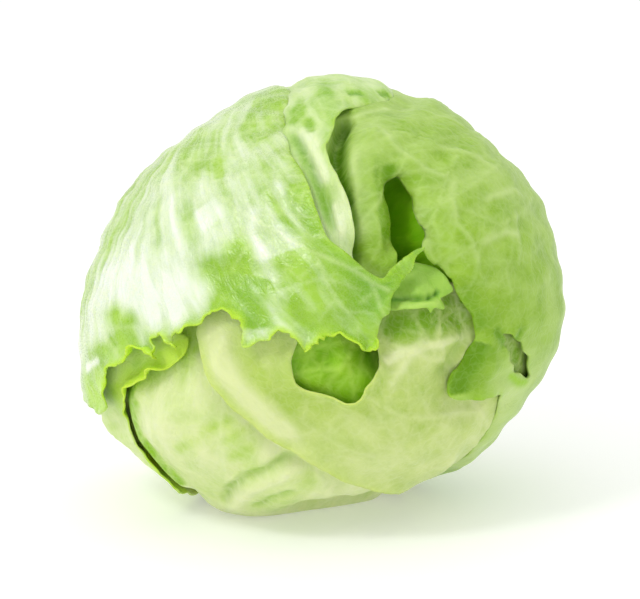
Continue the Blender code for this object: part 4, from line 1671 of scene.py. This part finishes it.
    def thicken(self, obj: bpy.types.Object, sheet: Sheet, distance: Array) -> None:
        """Give the leaf its thickness, most at the rib and least at the margin.

        Args:
            obj: The thin leaf.
            sheet: Its points.
            distance: Distance of each point inside the margin.
        """
        middle = np.exp(-((sheet.flat[:, 0] / self.rib_width) ** 2))
        rib = middle if self.plan.clasp else np.zeros(len(middle))
        inner = smooth(distance / self.thin_reach)
        thick = self.margin_thickness + (self.thickness - self.margin_thickness) * inner
        base = smooth((55.0 - sheet.down) / 40.0) * (0.35 + 0.65 * rib) * smooth(distance / 6.0)
        thick = thick + (self.rib_thickness - self.thickness) * base
        group = obj.vertex_groups.new(name="thickness")
        shares = np.round(thick / self.rib_thickness, 2)
        for share in np.unique(shares):
            group.add(np.nonzero(shares == share)[0].tolist(), float(share), "REPLACE")
        choose(obj)
        solid = obj.modifiers.new("thickness", "SOLIDIFY")
        solid.thickness = self.rib_thickness * MM
        solid.offset = -1.0
        solid.use_even_offset = False
        solid.vertex_group = group.name
        solid.thickness_vertex_group = 0.0
        bpy.ops.object.modifier_apply(modifier=solid.name)
        obj.vertex_groups.clear()

    def paint_light_inside(self, obj: bpy.types.Object, bright: Array) -> None:
        """Make the inner face bright where a rolled margin shows it, as painted light on the lit inner face.

        Args:
            obj: The thickened leaf, its inner points stored after its outer ones.
            bright: Brightness of each outer point's inner twin.
        """
        rim = np.empty(len(obj.data.vertices), np.float32)
        stored = obj.data.attributes["rim"].data
        stored.foreach_get("value", rim)
        rim[-len(bright) :] = np.maximum(rim[-len(bright) :], bright)
        stored.foreach_set("value", rim)

    def place(self) -> None:
        """Build the leaf and put it in place of its solid."""
        obj = self.build()
        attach(obj, "root")
        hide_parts(self.plan.name)
        report(obj)


@dataclass
class Heart:
    """The dense heart, seen between the leaves at the open crown."""

    finish: LeafFinish
    coarse: float = 4.0
    fine: float = 1.1
    reach: float = 68.0
    crown_from: float = 136.0
    seat_to: float = 24.0
    seat_reach: float = 47.0
    shelf: float = 1.6

    def directions(self) -> Array:
        """Spread even directions over the heart, closer together at the crown.

        Returns:
            Directions from the centre.
        """
        groups = []
        for spacing, low, high in ((self.coarse, 0.0, self.crown_from), (self.fine, self.crown_from, 180.1)):
            count = int(4.0 * math.pi * self.reach**2 / (spacing**2 * 0.866))
            index = np.arange(count) + 0.5
            down = np.degrees(np.arccos(1.0 - 2.0 * index / count))
            turn = np.degrees(math.pi * (1.0 + math.sqrt(5.0)) * index) % 360.0
            keep = (down >= low) & (down < high)
            groups.append(AXES.place(turn[keep], down[keep]))
        return np.concatenate(groups)

    def folds(self, dirs: Array) -> tuple[Array, Array]:
        """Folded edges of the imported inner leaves.

        Args:
            dirs: Directions from the centre.

        Returns:
            Heights in millimetres, and how near each point is to a leaf's edge.
        """
        turn, down = AXES.angles(dirs)
        swirl = np.radians(turn) * 3.0 + down / 7.0
        shelf = self.shelf * (0.5 + 0.5 * np.sin(swirl)) * smooth((down - 135.0) / 20.0)
        crease = Noise(91).rough(dirs * 9.0, 3)
        edge = 1.0 - smooth(np.abs(crease) / 0.25)
        return shelf + (0.9 * edge + 0.6 * crease) * smooth((down - 138.0) / 12.0), edge

    def place(self) -> None:
        """Build the heart and put it in place of its solid."""
        layer = len(STACK.plans)
        dirs = self.directions()
        pressing = STACK.covers(layer, dirs)[0]
        shelf, edge = self.folds(dirs)
        radii = STACK.radius(layer, dirs, pressing) - STACK.step + shelf - self.shelf
        down = AXES.angles(dirs)[1]
        seat = self.seat_reach / np.maximum(np.cos(np.radians(down)), 0.2)
        radii = np.where(down < self.seat_to, np.minimum(radii, seat), radii)
        shell = bmesh.new()
        for direction in dirs:
            shell.verts.new(tuple(direction))
        bmesh.ops.convex_hull(shell, input=shell.verts)
        shell.verts.index_update()
        bmesh.ops.recalc_face_normals(shell, faces=shell.faces)
        faces = np.array([[vert.index for vert in face.verts] for face in shell.faces])
        shell.free()
        obj = new_mesh_object("fine_heart", dirs * radii[:, None], faces)
        cloud = 0.5 + 0.5 * Noise(92).rough(dirs * 3.0, 3)
        store(obj.data, "pale", np.clip(0.1 + 0.3 * cloud, 0, 1))
        # Painted shade: darker green in the hollows pressed into the heart.
        store(obj.data, "deep_green_and_shade", smooth(STACK.sunk(layer, dirs) / 9.0) * (0.7 + 0.3 * cloud))
        store(obj.data, "vein", 0.4 * edge)
        store(obj.data, "rim", np.zeros(len(dirs)))
        flat = LeafMap(0.0, 180.0).flat(dirs)
        lay_out(obj, "leaf_flat", flat / 100.0 + 3.0)
        lay_out(obj, "leaf_fan", flat / 4.0 + 30.0)
        obj.data.materials.append(self.finish.material("heart_finish"))
        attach(obj, "root")
        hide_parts("heart")
        report(obj)


@dataclass
class Stem:
    """The cut stem in the middle of the leaf bases."""

    finish: StemFinish
    radius: float = 17.6
    low_reach: float = 47.6
    rim_reach: float = 68.6
    taper: float = 0.268
    gap: float = 0.9
    rings: int = 12
    cut_steps: tuple[tuple[float, float], ...] = ((4.0, 0.1), (1.8, 0.6), (0.9, 0.9))

    def place(self) -> None:
        """Turn the plug from a tapered drum, cut its end and put it in place of its solid."""
        bpy.ops.object.select_all(action="DESELECT")
        middle = AXES.stem * (self.low_reach + self.rim_reach) / 2
        bpy.ops.mesh.primitive_cone_add(
            vertices=160,
            radius1=(self.taper * self.low_reach - self.gap - 0.2) * MM,
            radius2=self.radius * MM,
            depth=(self.rim_reach - self.low_reach) * MM,
            end_fill_type="NGON",
            location=tuple(HEAD.metres(middle)),
            rotation=Vector(AXES.stem).to_track_quat("Z", "Y").to_euler(),
        )
        obj = bpy.context.object
        obj.name = "fine_stem"
        bpy.ops.object.transform_apply(location=True, rotation=True, scale=True)
        self.grow_end(obj)
        self.uneven(obj)
        obj.data.materials.append(self.finish.material("stem_finish"))
        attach(obj, "root")
        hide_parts("stem")
        report(obj)

    def grow_end(self, obj: bpy.types.Object) -> None:
        """Extrude the outer end to the cut and inset it into rings.

        Args:
            obj: The tapered drum.
        """
        choose(obj)
        bpy.ops.object.mode_set(mode="EDIT")
        bpy.ops.mesh.select_all(action="DESELECT")
        bpy.ops.object.mode_set(mode="OBJECT")
        for face in obj.data.polygons:
            face.select = bool(np.dot(face.normal, AXES.stem) > 0.99)
        bpy.ops.object.mode_set(mode="EDIT")
        outward = AXES.stem * MM
        for step, shrink in self.cut_steps:
            bpy.ops.mesh.extrude_region_move(TRANSFORM_OT_translate={"value": tuple(outward * step)})
            bpy.ops.mesh.inset(thickness=shrink * MM, depth=0.0)
        for _ in range(self.rings):
            bpy.ops.mesh.inset(thickness=self.radius / (self.rings + 2.0) * MM * 0.98, depth=-0.06 * MM)
        bpy.ops.mesh.poke()
        bpy.ops.object.mode_set(mode="OBJECT")
        bpy.ops.object.shade_smooth_by_angle(angle=math.radians(50.0))

    def uneven(self, obj: bpy.types.Object) -> None:
        """Make the cut face uneven and store how far out each point is.

        Args:
            obj: The stem.
        """
        count = len(obj.data.vertices)
        spots = np.empty(count * 3, np.float32)
        obj.data.vertices.foreach_get("co", spots)
        spots = spots.reshape(-1, 3) / MM - np.array(HEAD.centre)
        reach = spots @ AXES.stem
        aside = np.linalg.norm(spots - reach[:, None] * AXES.stem, axis=1)
        lift = 0.35 * Noise(77).rough(spots / 5.0, 3) * smooth((reach - 70.0) / 3.0)
        spots = spots + AXES.stem * lift[:, None]
        obj.data.vertices.foreach_set("co", HEAD.metres(spots).astype(np.float32).ravel())
        store(obj.data, "radial", np.clip(aside / self.radius, 0, 1))
        obj.data.update()


@dataclass
class Studio:
    """Plain white floor, soft light and the camera."""

    lens: float = 145.0
    distance: float = 0.9
    rise: float = 12.0
    drop: float = 0.0009
    sensor: float = 36.0
    floor_size: float = 8.0
    aim_height: float = 0.07
    world_light: float = 0.92
    key_spot: tuple[float, float, float] = (-0.75, -0.85, 1.25)
    key_size: float = 0.35
    key_power: float = 7.0
    top_spot: tuple[float, float, float] = (0.25, 0.1, 1.5)
    top_size: float = 1.4
    top_power: float = 2.0

    def floor(self) -> None:
        """Lay the white floor."""
        bpy.ops.object.select_all(action="DESELECT")
        bpy.ops.mesh.primitive_plane_add(size=self.floor_size, location=(0.0, 0.0, 0.0))
        plane = bpy.context.object
        plane.name = "floor"
        plane.data.materials.append(FloorFinish().material("floor_white"))

    def area(self, name: str, spot: tuple[float, float, float], size: float, power: float) -> None:
        """Hang one soft light that faces the head.

        Args:
            name: The light's name.
            spot: Where it hangs, in metres.
            size: Side of its square.
            power: Its power in watts.
        """
        light = bpy.data.lights.new(name, "AREA")
        light.shape = "SQUARE"
        light.size = size
        light.energy = power
        obj = bpy.data.objects.new(name, light)
        obj.location = spot
        aim = Vector((0.0, 0.0, self.aim_height)) - Vector(spot)
        obj.rotation_euler = aim.to_track_quat("-Z", "Y").to_euler()
        bpy.context.scene.collection.objects.link(obj)

    def lights(self) -> None:
        """Hang the lights and set the white surroundings."""
        self.area("key_light", self.key_spot, self.key_size, self.key_power)
        self.area("top_light", self.top_spot, self.top_size, self.top_power)
        world = bpy.data.worlds.new("white_room")
        world.use_nodes = True
        background = world.node_tree.nodes["Background"]
        background.inputs[0].default_value = (1.0, 1.0, 1.0, 1.0)
        background.inputs[1].default_value = self.world_light
        bpy.context.scene.world = world
        bpy.context.scene.view_settings.view_transform = "Standard"

    def camera(self) -> None:
        """Stand the camera where the photograph was taken from."""
        rise = math.radians(self.rise)
        up = Vector((0.0, math.sin(rise), math.cos(rise)))
        back = Vector((0.0, -math.cos(rise), math.sin(rise)))
        aim = Vector(HEAD.centre) * MM - up * self.drop
        data = bpy.data.cameras.new("camera")
        data.lens = self.lens
        data.sensor_width = self.sensor
        data.clip_end = 50.0
        obj = bpy.data.objects.new("camera", data)
        obj.location = aim + back * self.distance
        obj.rotation_euler = (-back).to_track_quat("-Z", "Y").to_euler()
        bpy.context.scene.collection.objects.link(obj)
        bpy.context.scene.camera = obj

    def build(self) -> None:
        """Set up the whole studio."""
        self.floor()
        self.lights()
        self.camera()


WRAPPER_GREEN = LeafFinish(
    "8ab628", "a0ca40", "eaf4dc", "e0ecbc", "b0da30", "5a9a10", vein_share=0.3, net_share=0.05,
    roughness=0.28, gloss=0.5, streak=0.55,
)
TOP_GREEN = LeafFinish(
    "8aba28", "9cc83c", "e0eebc", "d8e8a8", "a4cc34", "60980a", vein_share=0.3, roughness=0.36, gloss=0.35,
    streak=0.6,
)
RIGHT_GREEN = LeafFinish("86ae2a", "96bc3c", "bed686", "c2da8a", "9ccc34", "669600", vein_share=0.36)
FRONT_PALE = LeafFinish("a4c050", "b2ca60", "d8e2a4", "dee6b0", "cce078", "72a004", vein_share=0.3)
LOWER_PALE = LeafFinish("a2c840", "b4d454", "e2eab4", "e4ecbc", "b0d44c", "86b808", vein_share=0.3)
CURL_GREEN = LeafFinish("7cb02c", "8cbc38", "b8d872", "b8d872", "9ccc48", "4c8c08", vein_share=0.3)
INNER_GREEN = LeafFinish("7ab404", "88c008", "b4dc50", "b8dc5c", "98c83c", "5c9c04", vein_share=0.6)
HEART_GREEN = LeafFinish("84c804", "90d40c", "a8d838", "a8d838", "8cc83c", "7cc404", vein_share=0.4)
OUTER_GREEN = LeafFinish("a0cc34", "b0d848", "e4eeb4", "e0ecb0", "b8dc40", "6cac0c", vein_share=0.3)

# Folds, veins and patches of colour that are placed one by one, as turn and angle down.
# On the left wrapper the broad pale bands are painted sheen over its pale tone, and the thin pale stroke on a
# raised ridge is a painted highlight; bright strokes paint a glow of light on its corner lobe and rolled
# band; the other pale and green patches are its own tone.
LEFT_STROKES = (
    Stroke(((-89, 112), (-86, 130), (-88, 142)), 15.0, pale=0.45, fade=0.0),
    Stroke(((-80, 96), (-84, 108), (-89, 121)), 13.0, pale=0.5, fade=0.0),
    Stroke(((-70, 100), (-76, 116)), 12.0, pale=0.15),
    Stroke(((-130, 174), (-60, 174), (44, 173)), 13.0, pale=-1.0, green=0.6, fade=0.0),
    Stroke(((-115, 153), (-96, 161), (-88, 172)), 12.0, pale=-0.8, fade=0.1),
    Stroke(((-104, 143), (-93, 144), (-82, 145)), 7.0, pale=-0.8, green=0.25, fade=0.1),
    Stroke(((-86, 157), (-70, 152)), 9.0, pale=-0.7, fade=0.1),
    Stroke(((-72, 139), (-82, 142)), 4.5, pale=-0.6, fade=0.0),
    Stroke(((-95, 144), (-93, 136)), 4.0, pale=-0.6, fade=0.0),
    Stroke(((-100, 94), (-99.5, 101), (-99, 108)), 4.5, pale=-0.8, fade=0.0),
    Stroke(((-91, 103), (-93, 110)), 4.0, pale=-0.7, fade=0.0),
    Stroke(((-30, 117), (-31, 124)), 4.0, pale=-0.7, green=0.1, fade=0.0),
    Stroke(((-44, 118), (-50, 126)), 3.0, pale=-0.5),
    Stroke(((-40, 144), (-52, 156), (-70, 168)), 6.5, pale=-0.7, green=0.15),
    Stroke(((-22, 119), (-26, 128)), 2.4, lift=0.5, pale=0.2),
    Stroke(((-15, 106), (-19, 116), (-24, 125)), 5.5, pale=-0.7, fade=0.0),
    Stroke(((-53, 139), (-66, 143), (-78, 149)), 2.2, lift=0.6, pale=0.4),
    Stroke(((-41, 140), (-52, 149), (-62, 157)), 1.8, lift=0.6, pale=0.4),
    Stroke(((-60, 125), (-66, 132)), 4.0, pale=0.4),
    Stroke(((-108, 82), (-108.5, 87), (-108.5, 91), (-106.5, 96)), 4.8, pale=-1.2, bright=0.75, fade=0.0),
    Stroke(((-104, 72), (-103.5, 84), (-102, 95)), 7.0, pale=-0.5, fade=0.2),
    Stroke(((-102, 60), (-99, 80), (-92, 98)), 12.0, pale=0.4, fade=0.0),
    Stroke(((-81, 134), (-87, 139), (-92, 143)), 6.0, pale=-0.8, green=0.1, fade=0.0),
    Stroke(((-108, 92), (-104, 102), (-98, 108)), 4.0, pale=-0.7, fade=0.0),
    # A painted highlight on a ridge 0.5 mm high.
    Stroke(((-102.5, 84), (-101.5, 91), (-100.5, 98)), 1.4, lift=0.5, pale=1.2, bright=-0.4),
    Stroke(((-106, 100), (-104, 106), (-104, 112), (-104, 117)), 2.4, pale=-0.8, bright=0.6, fade=0.1),
    Stroke(((-76, 172), (-30, 177), (30, 173)), 5.0, pale=0.3, bright=0.25, fade=0.1),
)
# On the top leaf the green in the creases is painted shade, and the pale on the raised folds is painted
# highlight.
TOP_STROKES = (
    Stroke(
        ((-22, 128), (-28, 144), (-34, 151), (-42, 157), (-52, 162)), 2.4, lift=-1.4, green=0.6, pale=-0.6,
    ),
    Stroke(((-19, 130), (-22, 138), (-25, 145), (-31, 152)), 3.0, lift=1.2, pale=1.2),
    Stroke(((-33, 155), (-40, 159), (-48, 163)), 1.3, lift=0.5, pale=0.5),
    Stroke(((-15, 123), (-18, 126)), 3.4, lift=-0.4, pale=-0.6, green=0.35, fade=0.0),
    Stroke(((-16, 130), (-18, 134)), 1.8, lift=-0.5, pale=-0.8, green=0.5, fade=0.0),
    Stroke(((0, 112), (-8, 124)), 4.5, lift=-0.5, pale=-0.3, green=0.2),
    Stroke(((1, 122.5), (6, 122.5)), 1.8, lift=-0.5, pale=-0.8, green=0.7, fade=0.1),
    Stroke(((12, 120), (16, 118)), 1.6, lift=-0.5, pale=-0.8, green=0.7, fade=0.1),
)
# On the right wrapper the green in the pocket, at the slit's edge, along the inward roll and in the small
# dark patches is painted shade; pale on the hollow's rim and on raised folds is painted highlight, and bright
# beside the hole is a painted glow; the thin pale veins are its own tone.
RIGHT_STROKES = (
    Stroke(
        ((127, 153.5), (137, 152), (146, 150), (151, 147)), 4.8, lift=-1.2, green=1.3, pale=-1.0, fade=0.05,
    ),
    Stroke(((5, 149), (6, 156), (3, 163), (-3, 171)), 3.8, green=0.9, pale=-0.5, fade=0.1),
    Stroke(((118, 156), (130, 148), (143, 145)), 7.0, green=0.15, pale=-0.4, fade=0.0),
    Stroke(((127.5, 139), (127, 133), (124, 129)), 1.5, pale=-0.5, bright=0.8),
    Stroke(((124, 151), (130, 147), (136, 142)), 3.0, lift=0.9, pale=0.1),
    Stroke(((100, 166), (110, 163), (118, 158), (124, 155)), 5.0, green=0.6, pale=-0.3, fade=0.1),
    Stroke(((118, 151), (121, 147)), 1.7, lift=-0.8, green=0.9, fade=0.0),
    Stroke(((113, 144), (117, 144)), 1.5, lift=-0.6, green=0.8, fade=0.0),
    Stroke(((16, 160), (24, 165), (40, 169), (62, 169)), 2.2, lift=0.4, pale=0.5),
    Stroke(((134, 131), (141, 122), (148, 106)), 15.0, pale=0.8, fade=0.0),
    Stroke(((4, 139), (8, 145), (16, 148), (26, 150), (40, 150)), 1.3, lift=0.3, pale=0.45),
    Stroke(((25, 143), (35, 139), (46, 136), (57, 135)), 1.3, lift=0.3, pale=0.4),
    Stroke(((37, 146), (41, 155), (52, 160), (69, 160), (90, 160)), 1.4, lift=0.3, pale=0.45),
    Stroke(((71, 159), (71, 153), (72, 147), (76, 141)), 1.4, lift=0.3, pale=0.6),
    Stroke(((54, 149), (58, 141), (61, 134), (66, 130)), 1.3, lift=0.3, pale=0.5),
    Stroke(((65, 139), (75, 143), (88, 147)), 1.3, lift=0.3, pale=0.4),
    Stroke(((-7, 142), (-13, 151), (-23, 160), (-42, 168)), 1.5, lift=0.4, pale=0.5),
    Stroke(((0, 147), (-4, 156), (-10, 165), (-24, 173)), 1.3, lift=-0.4, green=0.3),
    Stroke(((-2, 133), (6, 130), (14, 126)), 1.6, lift=0.4, pale=0.6, fade=0.1),
)
# On the curled leaf the crease's green is painted shade, and the pale crest beside it is a painted highlight.
CURL_STROKES = (
    Stroke(
        ((-138, 174.5), (163, 175.6), (130, 172.8), (114, 170.8), (103, 170)),
        1.0, lift=-1.8, green=1.0, fade=0.1,
    ),
    Stroke(((-155, 172.5), (155, 173), (132, 170.6), (120, 169.5)), 1.7, lift=1.0, pale=0.5, fade=0.1),
)
# On the front leaf pale on the rolled lip and on the shelf's ridges is painted highlight, with painted shade
# in the valley beside the lip; the green under the curled leaf and inside the tear is painted shade.
FRONT_STROKES = (
    Stroke(
        ((-95, 134), (-107, 133), (-116, 133), (-127, 134), (-140, 134), (-151, 134)),
        4.5, lift=0.5, pale=1.0,
    ),
    Stroke(((-97, 140), (-110, 138), (-125, 140), (-142, 141)), 3.4, lift=-0.5, pale=-0.35),
    Stroke(((112, 161), (126, 164), (150, 169), (-165, 169)), 5.5, pale=-1.1, green=1.2, fade=0.0),
    Stroke(
        ((-166, 160), (-179, 163.5), (158, 163.5), (140, 160.5), (127, 155.5)),
        1.4, lift=0.8, pale=1.1, fade=0.05,
    ),
    Stroke(((168, 163), (158, 168), (148, 172)), 1.2, lift=0.5, pale=0.7),
    Stroke(((146, 163), (138, 166), (130, 169)), 1.3, lift=0.5, pale=0.8),
    Stroke(((-170, 153), (-177, 159), (172, 164), (155, 166)), 1.6, lift=0.4, pale=0.5),
    Stroke(((119, 145), (123, 135)), 7.0, green=1.6, pale=-1.0, fade=0.0),
)
# On the outer left leaf bright near the rolled band is a painted glow of light, and the green in its groove
# is painted shade.
OUTER_STROKES = (
    Stroke(((-128, 90), (-136, 86), (-141, 80)), 5.0, pale=-0.6, bright=0.3, fade=0.0),
    Stroke(((-113, 94), (-109, 103), (-107, 112), (-104, 121)), 7.0, pale=-0.6, bright=0.8, fade=0.0),
    Stroke(((-104, 104), (-105, 112)), 1.6, lift=-0.4, green=0.6),
)
# On the lower left leaf the green in the crescent gap and in the grooves is painted shade, and pale on the
# ridge is a painted highlight; bright paints a glow on the rolled band; the yellow-green upper part and the
# soft dashes are its own tone.
LOWER_STROKES = (
    Stroke(((-96, 118), (-100, 108), (-105, 99)), 11.0, pale=-1.0, green=0.15, fade=0.0),
    Stroke(
        ((-110, 103), (-112, 99), (-117, 95), (-122, 92.5), (-127, 92), (-138, 89)),
        3.4, green=1.4, pale=-1.0, fade=0.05,
    ),
    Stroke(((-107, 104), (-105, 112), (-103, 122)), 5.0, bright=0.4, pale=-0.5, fade=0.0),
    Stroke(
        ((-143, 94), (-146, 98), (-144, 105), (-143, 115), (-145, 120), (-148, 126), (-154, 130)),
        1.7, lift=-1.6, green=0.55,
    ),
    Stroke(
        ((-150, 92), (-148, 104), (-147, 112), (-149, 118), (-152, 124), (-157, 128)),
        2.4, lift=1.5, pale=0.3,
    ),
    Stroke(((-153, 100), (-154, 110), (-157, 119)), 2.0, lift=-1.2, green=0.6),
    Stroke(((-127, 106), (-127, 111), (-127, 117)), 2.2, pale=-0.35),
    Stroke(((-126, 116), (-127, 121), (-128, 127)), 2.0, pale=-0.35),
    Stroke(((-132, 118), (-133, 125), (-135, 130)), 2.0, pale=-0.3),
    Stroke(((-136, 116), (-138, 124), (-140, 130)), 2.2, pale=-0.3),
)


def leaves() -> tuple[Leaf, ...]:
    """The eight leaves with their finishes, from the outside in."""
    return (
        Leaf(
            0, WRAPPER_GREEN, "leaf_left_wrapper", Frill.RAGGED, (-12, 86), (-100, 170), LEFT_STROKES,
            paleness=0.37, wrinkles=0.65, wrinkle_width=4.6, streaks=0.32, rim_width=3.4, spread=30.0,
        ),
        Leaf(
            1, TOP_GREEN, "leaf_top", Frill.PLAIN, (5, 20), (0, 128), TOP_STROKES,
            paleness=0.5, wrinkles=0.5,
        ),
        Leaf(
            2, RIGHT_GREEN, "leaf_right_wrapper", Frill.TOOTHED, (70, 30), (100, 165), RIGHT_STROKES,
            paleness=0.08, wrinkles=0.3, wrinkle_width=9.0,
        ),
        Leaf(
            3, CURL_GREEN, "leaf_curled_inner", Frill.PLAIN, (60, 172), (170, 167), CURL_STROKES,
            paleness=0.1, wrinkles=0.15, spacing=0.6, sides=5,
        ),
        Leaf(
            4, FRONT_PALE, "leaf_front", Frill.PLAIN, (115, 20), (-172, 160), FRONT_STROKES,
            paleness=0.3, wrinkles=0.2, wrinkle_width=9.0,
        ),
        Leaf(
            5, OUTER_GREEN, "leaf_outer_left", Frill.PLAIN, (-114, 20), (-124, 88), OUTER_STROKES,
            paleness=0.4,
        ),
        Leaf(
            6, LOWER_PALE, "leaf_lower_left", Frill.PLAIN, (-165, 18), (-170, 130), LOWER_STROKES,
            paleness=0.62, wrinkles=0.25, wrinkle_width=8.0,
        ),
        Leaf(
            7, INNER_GREEN, "leaf_green_inner", Frill.TOOTHED, (-120, 176), (-145, 141),
            paleness=0.1, sides=5,
        ),
    )


def main() -> None:
    """Build every piece, then the studio."""
    logging.basicConfig(level=logging.INFO, format="%(message)s")
    for leaf in leaves():
        leaf.place()
    Heart(HEART_GREEN).place()
    Stem(StemFinish()).place()
    Studio().build()


if __name__ == "__main__":
    main()
